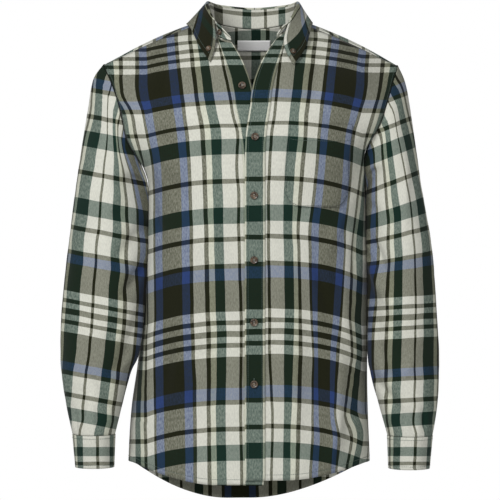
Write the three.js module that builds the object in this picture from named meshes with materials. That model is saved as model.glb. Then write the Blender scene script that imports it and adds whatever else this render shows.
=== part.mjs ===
import * as THREE from "three";

// A long-sleeved flannel shirt, filled out as if worn, with nobody in it.
// Millimetres, +Z up. The front faces -Y and the wearer's left is +X.
// The origin is the middle of the neck, level with the seam at the nape.

// Cloth
const bodyCloth = 1.4;
const foldedCloth = 2.2;
const trimCloth = 1.1;
const seamGap = 0.3;
const armholeGap = 1.2;

// Heights of the main levels
const underarmZ = -274;
const underarmRise = 18;
const chestZ = -126;
const chestRise = 6;
const backSeamZ = -92;
const sideHemZ = -696;
const frontHemZ = { right: -726, left: -718 };
const backHemZ = -771;
const frontHemStart = 0.2;
const frontHemRun = 0.65;
const backHemStart = { right: 0.13, left: -0.02 };

// Rows and columns of each piece's cloth
const skirtRows = 13;
const armholeRows = 5;
const shoulderRows = 4;
const backArmholeRows = 6;
const yokeRows = 6;
const frontNeckColumns = 4;
const napeColumns = 5;
const shoulderColumns = 8;
const sleeveRows = 20;

// Sections of the body. right and left are the half widths at the side seam, or at the
// armhole above it. frontEdge and backEdge are how far before or behind the middle the
// armhole lies. square is the exponent of the section, 2 for an ellipse.
const bodySections = [
  { z: -780, right: 205, left: 188, front: 129, back: 134, frontEdge: 0, backEdge: 0, square: 2.3 },
  { z: -690, right: 203, left: 187, front: 129, back: 133, frontEdge: 0, backEdge: 0, square: 2.3 },
  { z: -610, right: 198, left: 184, front: 128, back: 131, frontEdge: 0, backEdge: 0, square: 2.3 },
  { z: -540, right: 188, left: 183, front: 127, back: 129, frontEdge: 0, backEdge: 0, square: 2.3 },
  { z: -460, right: 180, left: 185, front: 129, back: 128, frontEdge: 0, backEdge: 0, square: 2.35 },
  { z: -400, right: 177, left: 185, front: 131, back: 128, frontEdge: 0, backEdge: 0, square: 2.4 },
  { z: -330, right: 173.5, left: 182, front: 134, back: 130, frontEdge: 0, backEdge: 0, square: 2.4 },
  { z: -274, right: 172, left: 180, front: 136, back: 132, frontEdge: 0, backEdge: 0, square: 2.4 },
  { z: -240, right: 177, left: 178, front: 137, back: 133, frontEdge: 34, backEdge: 38, square: 2.4 },
  { z: -200, right: 191, left: 181, front: 136, back: 133, frontEdge: 55, backEdge: 59, square: 2.45 },
  { z: -165, right: 204, left: 194, front: 133, back: 132, frontEdge: 65, backEdge: 69, square: 2.5 },
  { z: -126, right: 215, left: 210, front: 127, back: 129, frontEdge: 64, backEdge: 68, square: 2.5 },
  { z: -92, right: 222, left: 220, front: 118, back: 122, frontEdge: 52, backEdge: 56, square: 2.5 },
];

// Where each front ends at the opening, as a distance past the middle, minus where it laps
const openingEdges = [
  { z: -780, right: -15, left: -14.5 },
  { z: -240, right: -15, left: -14.5 },
  { z: -190, right: -12, left: -14 },
  { z: -160, right: -7, left: -11 },
  { z: -126, right: 0.5, left: -5.5 },
];

// The neck from the front end (station 0) to the nape (station 6): the seam, the folded top
// of the stand, and the free edge of the collar, which starts at station 2
const neckRight = [
  { station: 0, seamX: 37, seamY: -79, seamZ: -24, topX: 38, topY: -79.5, topZ: -18 },
  { station: 1, seamX: 48, seamY: -73, seamZ: -21, topX: 51, topY: -71, topZ: -3 },
  { station: 2, seamX: 59, seamY: -61, seamZ: -13, topX: 63, topY: -58, topZ: 9 },
  { station: 3, seamX: 67, seamY: -34, seamZ: 6, topX: 72, topY: -31, topZ: 29 },
  { station: 4, seamX: 70, seamY: 0, seamZ: 18, topX: 74, topY: 4, topZ: 43 },
  { station: 5, seamX: 52, seamY: 49, seamZ: 12, topX: 54, topY: 53, topZ: 42 },
  { station: 6, seamX: 0, seamY: 72, seamZ: 7, topX: 0, topY: 77, topZ: 39.5 },
];
const neckLeft = [
  { station: 0, seamX: 37, seamY: -77, seamZ: -18, topX: 38, topY: -77.5, topZ: -13 },
  { station: 1, seamX: 43, seamY: -70, seamZ: -12, topX: 47, topY: -70, topZ: 0 },
  { station: 2, seamX: 52, seamY: -57, seamZ: -3, topX: 56, topY: -57, topZ: 8 },
  { station: 3, seamX: 64, seamY: -33, seamZ: 7, topX: 66, topY: -31, topZ: 29 },
  { station: 4, seamX: 69, seamY: 0, seamZ: 14, topX: 70, topY: 4, topZ: 42.5 },
  { station: 5, seamX: 52, seamY: 49, seamZ: 12, topX: 52, topY: 53, topZ: 42 },
  { station: 6, seamX: 0, seamY: 72, seamZ: 7, topX: 0, topY: 77, topZ: 39.5 },
];
const collarEdgeRight = [
  { station: 2, x: 70, y: -97, z: -59 },
  { station: 2.5, x: 88, y: -69, z: -30 },
  { station: 3.2, x: 102, y: -34, z: 0 },
  { station: 4, x: 109.5, y: -6, z: 9 },
  { station: 4.6, x: 100, y: 50, z: 5 },
  { station: 5.3, x: 62, y: 88, z: 1 },
  { station: 6, x: 0, y: 102, z: -1 },
];
const collarEdgeLeft = [
  { station: 2, x: 63, y: -101, z: -63 },
  { station: 2.5, x: 80, y: -78, z: -38 },
  { station: 3.2, x: 90.5, y: -42, z: -5 },
  { station: 4, x: 94.5, y: -6, z: 12 },
  { station: 4.6, x: 92, y: 50, z: 7 },
  { station: 5.3, x: 60, y: 88, z: 1 },
  { station: 6, x: 0, y: 102, z: -1 },
];
const yokeStation = 3.7;
const shoulderTips = { right: { x: 242, y: -20, z: -58.5 }, left: { x: 231, y: -20, z: -60.5 } };
const neckShare = 0.24;
const yokeNeckShare = 0.5;
const shoulderBow = 3;
const yokeCrown = { least: 38, rate: 0.74, inward: 0.6, back: 0.4, up: 0.45 };
const backSeamLean = 0.3;
const shoulderLean = { x: 0.38, y: -0.62, z: 0.69 };
const chestCurve = { below: 12, reachAtOpening: 0.5, reachAtArmhole: 0.36 };

// Sections of the sleeves from the armhole to the cuff: the outer and inner side as seen
// from the front, half the depth, and how far forward the middle lies
const sleeveRight = [
  { row: 0, outer: 242, outerZ: -58, inner: 173, innerZ: -274, depth: 68, forward: -2 },
  { row: 1, outer: 258, outerZ: -82, inner: 175.5, innerZ: -278, depth: 72, forward: 0 },
  { row: 2, outer: 267.5, outerZ: -126, inner: 175.5, innerZ: -288, depth: 72, forward: 4 },
  { row: 3, outer: 278.5, outerZ: -190, inner: 174.5, innerZ: -306, depth: 69, forward: 12 },
  { row: 4, outer: 288, outerZ: -254, inner: 174.5, innerZ: -336, depth: 66, forward: 22 },
  { row: 5, outer: 295.5, outerZ: -324, inner: 174.5, innerZ: -378, depth: 64, forward: 33 },
  { row: 6, outer: 302.5, outerZ: -389, inner: 174, innerZ: -424, depth: 62, forward: 42 },
  { row: 7, outer: 307, outerZ: -454, inner: 176, innerZ: -472, depth: 60, forward: 47 },
  { row: 8, outer: 309.5, outerZ: -518, inner: 184, innerZ: -522, depth: 58, forward: 50 },
  { row: 9, outer: 308, outerZ: -553, inner: 196, innerZ: -550, depth: 56, forward: 51 },
  { row: 10, outer: 304, outerZ: -583, inner: 204, innerZ: -579, depth: 53, forward: 52 },
  { row: 11, outer: 297.5, outerZ: -616, inner: 213, innerZ: -614, depth: 50, forward: 53 },
  { row: 12, outer: 290, outerZ: -650, inner: 222, innerZ: -650, depth: 46, forward: 54 },
];
const sleeveLeft = [
  { row: 0, outer: 231, outerZ: -58, inner: 181, innerZ: -274, depth: 68, forward: -2 },
  { row: 1, outer: 243, outerZ: -86, inner: 183, innerZ: -278, depth: 72, forward: 0 },
  { row: 2, outer: 252, outerZ: -130, inner: 183.5, innerZ: -288, depth: 72, forward: 4 },
  { row: 3, outer: 261, outerZ: -190, inner: 183.5, innerZ: -306, depth: 69, forward: 12 },
  { row: 4, outer: 270, outerZ: -254, inner: 183, innerZ: -336, depth: 66, forward: 22 },
  { row: 5, outer: 280.5, outerZ: -324, inner: 182, innerZ: -378, depth: 64, forward: 33 },
  { row: 6, outer: 288, outerZ: -389, inner: 181.5, innerZ: -424, depth: 62, forward: 42 },
  { row: 7, outer: 291.5, outerZ: -454, inner: 181.5, innerZ: -472, depth: 60, forward: 47 },
  { row: 8, outer: 294.5, outerZ: -518, inner: 183, innerZ: -526, depth: 58, forward: 50 },
  { row: 9, outer: 294.5, outerZ: -556, inner: 188, innerZ: -556, depth: 56, forward: 51 },
  { row: 10, outer: 294, outerZ: -586, inner: 195, innerZ: -584, depth: 53, forward: 52 },
  { row: 11, outer: 291, outerZ: -620, inner: 203, innerZ: -617, depth: 50, forward: 53 },
  { row: 12, outer: 285, outerZ: -652, inner: 213, innerZ: -652, depth: 46, forward: 54 },
];
const armholeBlendRows = 4.5;

// Largest folds of the body. x and z are the middle, lean is degrees from upright with the
// foot towards the wearer's left, and depth is minus for a trough.
const bodyFolds = [
  { face: "front", x: -176, z: -232, lean: 28, length: 130, width: 13, depth: -7 },
  { face: "front", x: -196, z: -190, lean: 24, length: 110, width: 12, depth: 6 },
  { face: "front", x: 176, z: -200, lean: -26, length: 110, width: 14, depth: -5 },
  { face: "front", x: 188, z: -160, lean: -22, length: 100, width: 12, depth: 5 },
  { face: "front", x: -166, z: -585, lean: -3, length: 300, width: 15, depth: 4 },
  { face: "front", x: -148, z: -570, lean: -4, length: 300, width: 14, depth: -5 },
  { face: "front", x: 92, z: -510, lean: 5, length: 300, width: 20, depth: -6 },
  { face: "front", x: 132, z: -560, lean: 5, length: 280, width: 17, depth: 5 },
  { face: "front", x: 150, z: -640, lean: 5, length: 170, width: 13, depth: -5 },
  { face: "front", x: -70, z: -600, lean: -5, length: 240, width: 22, depth: -4 },
  { face: "back", x: -150, z: -300, lean: 14, length: 300, width: 18, depth: -7 },
  { face: "back", x: 146, z: -310, lean: -15, length: 320, width: 18, depth: -7 },
  { face: "back", x: -66, z: -560, lean: 4, length: 340, width: 24, depth: -7 },
  { face: "back", x: 48, z: -590, lean: -5, length: 300, width: 22, depth: 6 },
  { face: "back", x: 112, z: -600, lean: -3, length: 280, width: 20, depth: -6 },
  { face: "back", x: -130, z: -620, lean: 3, length: 240, width: 20, depth: 6 },
];

// Largest folds of the sleeves. around is degrees from the inner side by way of the front,
// row is a place in the table of sections, slant is degrees of turn for each row.
const sleeveFolds = [
  { side: -1, around: 55, row: 2.2, slant: 22, length: 3.2, width: 15, depth: -5 },
  { side: -1, around: 40, row: 7.4, slant: 20, length: 4.4, width: 15, depth: -5 },
  { side: -1, around: 76, row: 9.4, slant: -16, length: 4.4, width: 15, depth: -5 },
  { side: -1, around: 250, row: 6.5, slant: -18, length: 4.5, width: 18, depth: -6 },
  { side: -1, around: 300, row: 8.6, slant: 14, length: 4, width: 16, depth: -5 },
  { side: 1, around: 48, row: 2, slant: 26, length: 3.2, width: 16, depth: -6 },
  { side: 1, around: 34, row: 6.6, slant: 20, length: 4.4, width: 15, depth: -6 },
  { side: 1, around: 52, row: 10.2, slant: 26, length: 3.6, width: 15, depth: -6 },
  { side: 1, around: 255, row: 6.8, slant: -18, length: 4.5, width: 18, depth: -6 },
  { side: 1, around: 298, row: 8.8, slant: 14, length: 4, width: 16, depth: -5 },
];

// Cuffs
const cuffTop = { grow: 0.6, drop: 0.6 };
const cuffLength = 52;
const cuffNarrow = 3.4;
const cuffSides = 24;
const cuffShift = 1.5;
const cuffLap = { start: 232, overlap: 24, lift: 3.2, liftRun: 50 };
const cuffRows = 3;
const sleeveSlit = { around: 245, width: 24, fromCuff: 0.05, sections: 3.58, rows: 7 };

// Placket, button band, pocket and label
const placketWidth = 32;
const underlap = { depth: 4.3, start: 0.1, run: 0.22 };
const pocket = {
  innerX: 48.5,
  outerX: 149,
  topZ: -159,
  bottomZ: -289,
  corner: 26,
  lean: 6.5,
  leanHeight: 75,
  stand: 1.3,
};
const pocketColumns = 9;
const pocketRows = 8;
const labelStand = 1.2;
const label = { width: 55, height: 17, thickness: 0.8, topZ: -10.5, columns: 6 };

// Buttons
const buttonSize = { radius: 5.7, thickness: 2.6, rim: 1.3, dish: 0.7, sides: 14 };
const smallButtonRadius = 4.7;
const placketButtonZ = [-179, -271, -372, -470, -567];
const openButtonZ = -98;
const buttonFromEdge = 14.5;
const buttonGap = 0.5;

// Numbers and points

function mix(from, to, share) {
  return from + (to - from) * share;
}

function easeIn(value) {
  const clamped = Math.min(1, Math.max(0, value));
  return clamped * clamped * (3 - 2 * clamped);
}

function point(x, y, z) {
  return new THREE.Vector3(x, y, z);
}

// Reads a column of a table between its rows, on a smooth curve through them
function readTable(rows, key, column, place) {
  const last = rows.length - 1;
  if (place <= rows[0][key]) {
    return rows[0][column];
  }
  if (place >= rows[last][key]) {
    return rows[last][column];
  }
  let index = 0;
  while (rows[index + 1][key] < place) {
    index += 1;
  }
  const slopeAt = (at) => {
    const before = rows[Math.max(0, at - 1)];
    const after = rows[Math.min(last, at + 1)];
    return (after[column] - before[column]) / (after[key] - before[key]);
  };
  const low = rows[index];
  const high = rows[index + 1];
  const span = high[key] - low[key];
  const share = (place - low[key]) / span;
  const squared = share * share;
  const cubed = squared * share;
  return (2 * cubed - 3 * squared + 1) * low[column]
    + (cubed - 2 * squared + share) * span * slopeAt(index)
    + (3 * squared - 2 * cubed) * high[column]
    + (cubed - squared) * span * slopeAt(index + 1);
}

function curveThrough(start, middle, end, share) {
  const back = 1 - share;
  return start.clone().multiplyScalar(back * back)
    .addScaledVector(middle, 2 * share * back)
    .addScaledVector(end, share * share);
}

// The body's surface

function foldHeight(face, x, z) {
  let height = 0;
  for (const fold of bodyFolds) {
    if (fold.face !== face) {
      continue;
    }
    const lean = THREE.MathUtils.degToRad(fold.lean);
    const along = (z - fold.z) * Math.cos(lean) - (x - fold.x) * Math.sin(lean);
    const across = (x - fold.x) * Math.cos(lean) + (z - fold.z) * Math.sin(lean);
    const end = 1 - (2 * along / fold.length) ** 2;
    if (end > 0) {
      height += fold.depth * end * end * Math.exp(-((across / fold.width) ** 2));
    }
  }
  return height;
}

function sectionAt(face, side, z) {
  const edge = readTable(bodySections, "z", side < 0 ? "right" : "left", z);
  const depth = readTable(bodySections, "z", face, z);
  const edgeDepth = Math.max(0, readTable(bodySections, "z", face + "Edge", z));
  const square = readTable(bodySections, "z", "square", z);
  const halfWidth = edge / (1 - (edgeDepth / depth) ** square) ** (1 / square);
  return { edge, depth, square, halfWidth };
}

// A point of the front or back at a distance from the middle, out to the side
function surfaceAt(face, side, outward, z) {
  const { depth, square, halfWidth } = sectionAt(face, side, z);
  const share = Math.min(1, Math.abs(outward) / halfWidth);
  const forward = depth * (1 - share ** square) ** (1 / square);
  const facing = face === "front" ? -1 : 1;
  const x = outward * side;
  const away = point(x / halfWidth ** 2, facing * forward / depth ** 2, 0).normalize();
  const lift = foldHeight(face, x, z);
  return point(x, facing * forward, z).addScaledVector(away, lift);
}

function edgeTurn(face, side, z) {
  const { edge, halfWidth } = sectionAt(face, side, z);
  return Math.asin(Math.min(1, edge / halfWidth));
}

function frontBelowChest(side, share, z) {
  const { halfWidth } = sectionAt("front", side, z);
  const inner = readTable(openingEdges, "z", side < 0 ? "right" : "left", z);
  const turn = mix(Math.asin(inner / halfWidth), edgeTurn("front", side, z), share);
  return surfaceAt("front", side, halfWidth * Math.sin(turn), z);
}

// The neck, the shoulder seams and the fronts

// Carries a table on past the nape as its mirror image, so that its curves cross level there
function pastNape(rows) {
  const beyond = rows.slice(0, -1).reverse().map((row) => {
    const mirrored = { ...row, station: 12 - row.station };
    for (const key of ["seamX", "topX", "x"]) {
      mirrored[key] = -row[key];
    }
    return mirrored;
  });
  return [...rows, ...beyond];
}

const neckTables = { right: pastNape(neckRight), left: pastNape(neckLeft) };

function neckTable(side) {
  return side < 0 ? neckTables.right : neckTables.left;
}

function neckPoint(side, station, line) {
  const table = neckTable(side);
  return point(
    side * readTable(table, "station", line + "X", station),
    readTable(table, "station", line + "Y", station),
    readTable(table, "station", line + "Z", station),
  );
}

function shoulderSeam(side, share) {
  const inner = neckPoint(side, yokeStation, "seam");
  const tip = side < 0 ? shoulderTips.right : shoulderTips.left;
  const bow = Math.sin(Math.PI * share) * shoulderBow;
  return point(mix(inner.x, side * tip.x, share), mix(inner.y, tip.y, share) - bow,
    mix(inner.z, tip.z, share) + bow);
}

function frontTop(side, share) {
  if (share < neckShare) {
    return neckPoint(side, yokeStation * share / neckShare, "seam");
  }
  return shoulderSeam(side, (share - neckShare) / (1 - neckShare));
}

function frontLevel(side, share, row) {
  const middleHem = side < 0 ? frontHemZ.right : frontHemZ.left;
  const hem = mix(middleHem, sideHemZ, easeIn((share - frontHemStart) / frontHemRun));
  const underarm = underarmZ + underarmRise * (1 - share * share);
  const chest = chestZ + chestRise * (1 - share * share);
  if (row <= skirtRows) {
    return mix(hem, underarm, row / skirtRows);
  }
  return mix(underarm, chest, (row - skirtRows) / armholeRows);
}

// The right front lies under the left one along the opening
function tuckUnder(spot, side, share, climbed) {
  if (side < 0) {
    const faded = easeIn((share - underlap.start) / underlap.run);
    spot.y += underlap.depth * (1 - faded) * (1 - climbed);
  }
  return spot;
}

function frontPoint(side, share, row) {
  const lastRow = skirtRows + armholeRows;
  const z = frontLevel(side, share, Math.min(row, lastRow));
  const chest = frontBelowChest(side, share, z);
  if (row <= lastRow) {
    return tuckUnder(chest, side, share, 0);
  }
  const below = frontBelowChest(side, share, z - chestCurve.below);
  const top = frontTop(side, share);
  const climb = chest.clone().sub(below);
  const part = mix(chestCurve.reachAtOpening, chestCurve.reachAtArmhole, share);
  const reach = part * (top.z - chest.z) / climb.z;
  const middle = chest.clone().addScaledVector(climb, reach);
  const climbed = (row - lastRow) / shoulderRows;
  const spot = curveThrough(chest, middle, top, climbed);
  spot.z -= seamGap * easeIn(row - lastRow - shoulderRows + 1);
  return tuckUnder(spot, side, share, climbed);
}

// The back and the yoke

function backPoint(across, row) {
  const side = across < 0 ? -1 : 1;
  const share = Math.abs(across);
  const hemStart = side < 0 ? backHemStart.right : backHemStart.left;
  const hem = mix(backHemZ, sideHemZ, easeIn((share - hemStart) / (1 - hemStart)));
  const underarm = underarmZ + underarmRise * (1 - share * share);
  const z = row <= skirtRows
    ? mix(hem, underarm, row / skirtRows)
    : mix(underarm, backSeamZ, (row - skirtRows) / backArmholeRows);
  const { halfWidth } = sectionAt("back", side, z);
  const spot = surfaceAt("back", side, halfWidth * Math.sin(share * edgeTurn("back", side, z)), z);
  spot.y += seamGap;
  return spot;
}

function yokePoint(across, row) {
  const side = across < 0 ? -1 : 1;
  const share = Math.abs(across);
  const top = share < yokeNeckShare
    ? neckPoint(side, mix(6, yokeStation, share / yokeNeckShare), "seam")
    : shoulderSeam(side, (share - yokeNeckShare) / (1 - yokeNeckShare));
  const bottom = backPoint(across, skirtRows + backArmholeRows);
  bottom.z += seamGap;
  const span = bottom.y - top.y;
  const middle = point(
    mix(top.x, bottom.x, yokeCrown.inward),
    mix(top.y, bottom.y, yokeCrown.back),
    mix(top.z, bottom.z, yokeCrown.up) + yokeCrown.rate * (span - yokeCrown.least),
  );
  return curveThrough(top, middle, bottom, row / yokeRows);
}

// Sleeves and cuffs

function armholeLoop(side) {
  const loop = [frontPoint(side, 1, skirtRows)];
  for (let row = 1; row <= armholeRows + shoulderRows; row += 1) {
    loop.push(frontPoint(side, 1, skirtRows + row));
  }
  for (let row = 1; row <= yokeRows; row += 1) {
    loop.push(yokePoint(side, row));
  }
  for (let row = backArmholeRows - 1; row >= 1; row -= 1) {
    loop.push(backPoint(side, skirtRows + row));
  }
  return loop;
}

function sleeveFrame(side, row) {
  const table = side < 0 ? sleeveRight : sleeveLeft;
  const read = (column) => readTable(table, "row", column, row);
  const outer = point(side * read("outer"), -read("forward"), read("outerZ"));
  const inner = point(side * read("inner"), -read("forward"), read("innerZ"));
  const reach = outer.clone().sub(inner).multiplyScalar(0.5);
  const down = point(side * reach.z, 0, -side * reach.x).normalize();
  return { middle: outer.add(inner).multiplyScalar(0.5), reach, down, depth: read("depth") };
}

function sleeveFoldHeight(side, around, row) {
  let height = 0;
  for (const fold of sleeveFolds) {
    if (fold.side !== side) {
      continue;
    }
    const end = 1 - (2 * (row - fold.row) / fold.length) ** 2;
    const turn = THREE.MathUtils.radToDeg(around) - fold.around - fold.slant * (row - fold.row);
    if (end > 0) {
      height += fold.depth * end * end * Math.exp(-((turn / fold.width) ** 2));
    }
  }
  return height;
}

// around runs from the inner side by way of the front; near the armhole the ring keeps the
// armhole's own shape, given as parts along reach, depth and down
function sleevePoint(side, around, row, armhole) {
  const { middle, reach, down, depth } = sleeveFrame(side, row);
  const keep = 1 - easeIn(row / armholeBlendRows);
  const along = mix(-Math.cos(around), armhole.along, keep);
  const deep = mix(Math.sin(around), armhole.deep, keep);
  const spot = middle.clone().addScaledVector(reach, along)
    .addScaledVector(down, armhole.out * keep);
  spot.y -= depth * deep;
  const away = spot.clone().sub(middle).normalize();
  return spot.addScaledVector(away, sleeveFoldHeight(side, around, row));
}

// Each armhole point as a turn around the ring and parts along its own directions
function armholeParts(side) {
  const loop = armholeLoop(side);
  const { middle, reach, down, depth } = sleeveFrame(side, 0);
  const lengths = [0];
  loop.forEach((spot, index) => {
    lengths.push(lengths[index] + spot.distanceTo(loop[(index + 1) % loop.length]));
  });
  const whole = lengths[loop.length];
  return loop.map((spot, index) => {
    const offset = spot.clone().sub(middle);
    return {
      around: 2 * Math.PI * lengths[index] / whole,
      along: offset.dot(reach) / reach.lengthSq(),
      deep: -offset.y / depth,
      out: offset.dot(down) + armholeGap,
    };
  });
}

const smoothRing = { along: 0, deep: 0, out: 0 };
const lastSleeveRow = 12;

function cuffPoint(side, around, share, lift) {
  const { middle, reach, depth } = sleeveFrame(side, lastSleeveRow);
  const narrow = cuffTop.grow - cuffNarrow * share + lift;
  const half = reach.length() + narrow;
  const spot = middle.clone().addScaledVector(reach, -Math.cos(around) * half / reach.length());
  spot.y -= (depth + narrow) * Math.sin(around);
  spot.z -= cuffTop.drop + cuffLength * share;
  spot.x -= side * cuffShift * share;
  return spot;
}

// Closed walls of cloth from a grid of outer points

function gridNormals(grid, ring, facing) {
  const rows = grid.length;
  const columns = grid[0].length;
  return grid.map((line, row) => line.map((spot, column) => {
    const up = grid[Math.min(rows - 1, row + 1)][column].clone()
      .sub(grid[Math.max(0, row - 1)][column]);
    const after = ring ? (column + 1) % columns : Math.min(columns - 1, column + 1);
    const before = ring ? (column + columns - 1) % columns : Math.max(0, column - 1);
    const across = line[after].clone().sub(line[before]);
    return across.cross(up).normalize().multiplyScalar(facing);
  }));
}

// facing is 1 where across times up points out of the cloth's right side, else -1.
// seams may give a seam's own direction, so that two pieces end on one plane there.
function clothWall(grid, thickness, facing, ring = false, seams = () => null) {
  const rows = grid.length;
  const columns = grid[0].length;
  const normals = gridNormals(grid, ring, facing).map((line, row) => (
    line.map((normal, column) => seams(row, column, grid[row][column]) ?? normal)
  ));
  const inner = grid.map((line, row) => line.map((spot, column) => (
    spot.clone().addScaledVector(normals[row][column], -thickness)
  )));
  const spots = [...grid.flat(), ...inner.flat()];
  const layer = rows * columns;
  const faces = [];
  const addQuad = (a, b, c, d) => {
    const corners = facing > 0 ? [a, b, c, a, c, d] : [a, c, b, a, d, c];
    faces.push(...corners);
  };
  const lastColumn = ring ? columns : columns - 1;
  for (let row = 0; row < rows - 1; row += 1) {
    for (let column = 0; column < lastColumn; column += 1) {
      const next = (column + 1) % columns;
      const a = row * columns + column;
      const b = row * columns + next;
      const c = a + columns;
      const d = b + columns;
      addQuad(a, b, d, c);
      addQuad(layer + b, layer + a, layer + c, layer + d);
    }
  }
  for (let column = 0; column < lastColumn; column += 1) {
    const next = (column + 1) % columns;
    const top = (rows - 1) * columns;
    addQuad(next, column, layer + column, layer + next);
    addQuad(top + column, top + next, layer + top + next, layer + top + column);
  }
  if (!ring) {
    for (let row = 0; row < rows - 1; row += 1) {
      const start = row * columns;
      const end = start + columns - 1;
      addQuad(start, start + columns, layer + start + columns, layer + start);
      addQuad(end + columns, end, layer + end, layer + end + columns);
    }
  }
  const geometry = new THREE.BufferGeometry();
  const numbers = spots.flatMap((spot) => spot.toArray());
  geometry.setAttribute("position", new THREE.Float32BufferAttribute(numbers, 3));
  geometry.setIndex(faces);
  geometry.computeVertexNormals();
  return geometry;
}

function makeGrid(rows, columns, place) {
  const grid = [];
  for (let row = 0; row <= rows; row += 1) {
    const line = [];
    for (let column = 0; column <= columns; column += 1) {
      line.push(place(row, column));
    }
    grid.push(line);
  }
  return grid;
}

function moveOut(grid, facing, distance) {
  const normals = gridNormals(grid, false, facing);
  return grid.map((line, row) => line.map((spot, column) => (
    spot.clone().addScaledVector(normals[row][column], distance)
  )));
}

// Materials

function clothMaterial(color) {
  return new THREE.MeshStandardMaterial({ color, roughness: 0.95, metalness: 0 });
}

const flannel = clothMaterial(0x7d8078);
const flannelDark = clothMaterial(0x33382f);
const flannelGreen = clothMaterial(0x2f4a3e);
const flannelCream = clothMaterial(0xd9d8cb);
const labelWhite = clothMaterial(0xf0f0ee);
const horn = new THREE.MeshStandardMaterial({ color: 0x6b4a34, roughness: 0.35, metalness: 0 });

const shirt = new THREE.Group();

function addPiece(name, geometry, material) {
  const mesh = new THREE.Mesh(geometry, material.clone());
  mesh.name = name;
  shirt.add(mesh);
  return mesh;
}

// Fronts, back and yoke

const frontRows = skirtRows + armholeRows + shoulderRows;
const backRows = skirtRows + backArmholeRows;
const frontColumns = frontNeckColumns + shoulderColumns;
const halfBack = napeColumns + shoulderColumns;
const backColumns = 2 * halfBack;

// Columns end at the same points along the neck and shoulder on every piece that meets there
function columnShare(column, neckColumns, neckPart) {
  return column <= neckColumns
    ? neckPart * column / neckColumns
    : mix(neckPart, 1, (column - neckColumns) / shoulderColumns);
}

function frontGrid(side) {
  return makeGrid(frontRows, frontColumns, (row, column) => (
    frontPoint(side, columnShare(column, frontNeckColumns, neckShare), row)
  ));
}

const frontRightGrid = frontGrid(-1);
const frontLeftGrid = frontGrid(1);

function backAcross(column) {
  const fromMiddle = column - halfBack;
  return Math.sign(fromMiddle) * columnShare(Math.abs(fromMiddle), napeColumns, yokeNeckShare);
}

function shoulderDirection(side) {
  return point(side * shoulderLean.x, shoulderLean.y, shoulderLean.z).normalize();
}

function backSeamDirection(spot) {
  const { halfWidth, depth } = sectionAt("back", Math.sign(spot.x) || 1, backSeamZ);
  const level = point(spot.x / halfWidth ** 2, spot.y / depth ** 2, 0).normalize();
  return level.add(point(0, 0, backSeamLean)).normalize();
}

function frontSeams(side) {
  return (row, column) => {
    if (row === frontRows && column >= frontNeckColumns) {
      return shoulderDirection(side);
    }
    return column === frontColumns && row <= skirtRows ? point(side, 0, 0) : null;
  };
}

addPiece("front_right", clothWall(frontRightGrid, bodyCloth, -1, false, frontSeams(-1)), flannel);
addPiece("front_left", clothWall(frontLeftGrid, bodyCloth, 1, false, frontSeams(1)), flannel);

const backGrid = makeGrid(backRows, backColumns, (row, column) => backPoint(backAcross(column), row));

function backSeams(row, column, spot) {
  if (row === backRows) {
    return backSeamDirection(spot);
  }
  const atSide = column === 0 || column === backColumns;
  return atSide && row <= skirtRows ? point(Math.sign(spot.x), 0, 0) : null;
}

addPiece("back", clothWall(backGrid, bodyCloth, -1, false, backSeams), flannel);

const yokeGrid = makeGrid(yokeRows, backColumns, (row, column) => (
  yokePoint(backAcross(column), yokeRows - row)
));

function yokeSeams(row, column, spot) {
  if (row === 0) {
    return backSeamDirection(spot);
  }
  const onShoulder = Math.abs(column - halfBack) >= napeColumns;
  return row === yokeRows && onShoulder ? shoulderDirection(Math.sign(spot.x)) : null;
}

addPiece("yoke", clothWall(yokeGrid, bodyCloth, -1, false, yokeSeams), flannelDark);

// Bands along the opening, laid on the fronts

// The share across a front that lies a distance from its opening edge
function shareAtDistance(side, row, distance) {
  const steps = 60;
  const reach = 0.4;
  let walked = 0;
  let spot = frontPoint(side, 0, row);
  for (let step = 1; step <= steps; step += 1) {
    const next = frontPoint(side, reach * step / steps, row);
    const length = next.distanceTo(spot);
    if (walked + length >= distance) {
      return reach * (step - 1 + (distance - walked) / length) / steps;
    }
    walked += length;
    spot = next;
  }
  return reach;
}

const bandColumns = 2;
const bandStand = 0.6;
const bandDrop = 0.2;

function bandGrid(side) {
  const grid = makeGrid(frontRows, bandColumns, (line, column) => {
    const row = Math.min(line, frontRows - bandDrop);
    return frontPoint(side, shareAtDistance(side, row, placketWidth * column / bandColumns), row);
  });
  return moveOut(grid, side, bandStand + trimCloth);
}

const placketGrid = bandGrid(1);
const bandRightGrid = bandGrid(-1);
addPiece("placket", clothWall(placketGrid, trimCloth, 1), flannelGreen);
addPiece("button_band", clothWall(bandRightGrid, trimCloth, -1), flannelGreen);

// Chest pocket

// The point of a grid of cloth seen from the front at a given x and z
function spotSeenAt(grid, x, z) {
  let best = grid[0][0];
  let miss = Infinity;
  const steps = 12;
  for (let row = 0; row < grid.length - 1; row += 1) {
    for (let column = 0; column < grid[0].length - 1; column += 1) {
      const [a, b] = [grid[row][column], grid[row][column + 1]];
      const [c, d] = [grid[row + 1][column], grid[row + 1][column + 1]];
      if (z < Math.min(a.z, b.z) || z > Math.max(c.z, d.z) || Math.abs(a.x - x) > 60) {
        continue;
      }
      for (let up = 0; up <= steps; up += 1) {
        for (let out = 0; out <= steps; out += 1) {
          const high = c.clone().lerp(d, out / steps);
          const spot = a.clone().lerp(b, out / steps).lerp(high, up / steps);
          const off = Math.hypot(spot.x - x, spot.z - z);
          if (off < miss) {
            miss = off;
            best = spot;
          }
        }
      }
    }
  }
  return best;
}

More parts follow.
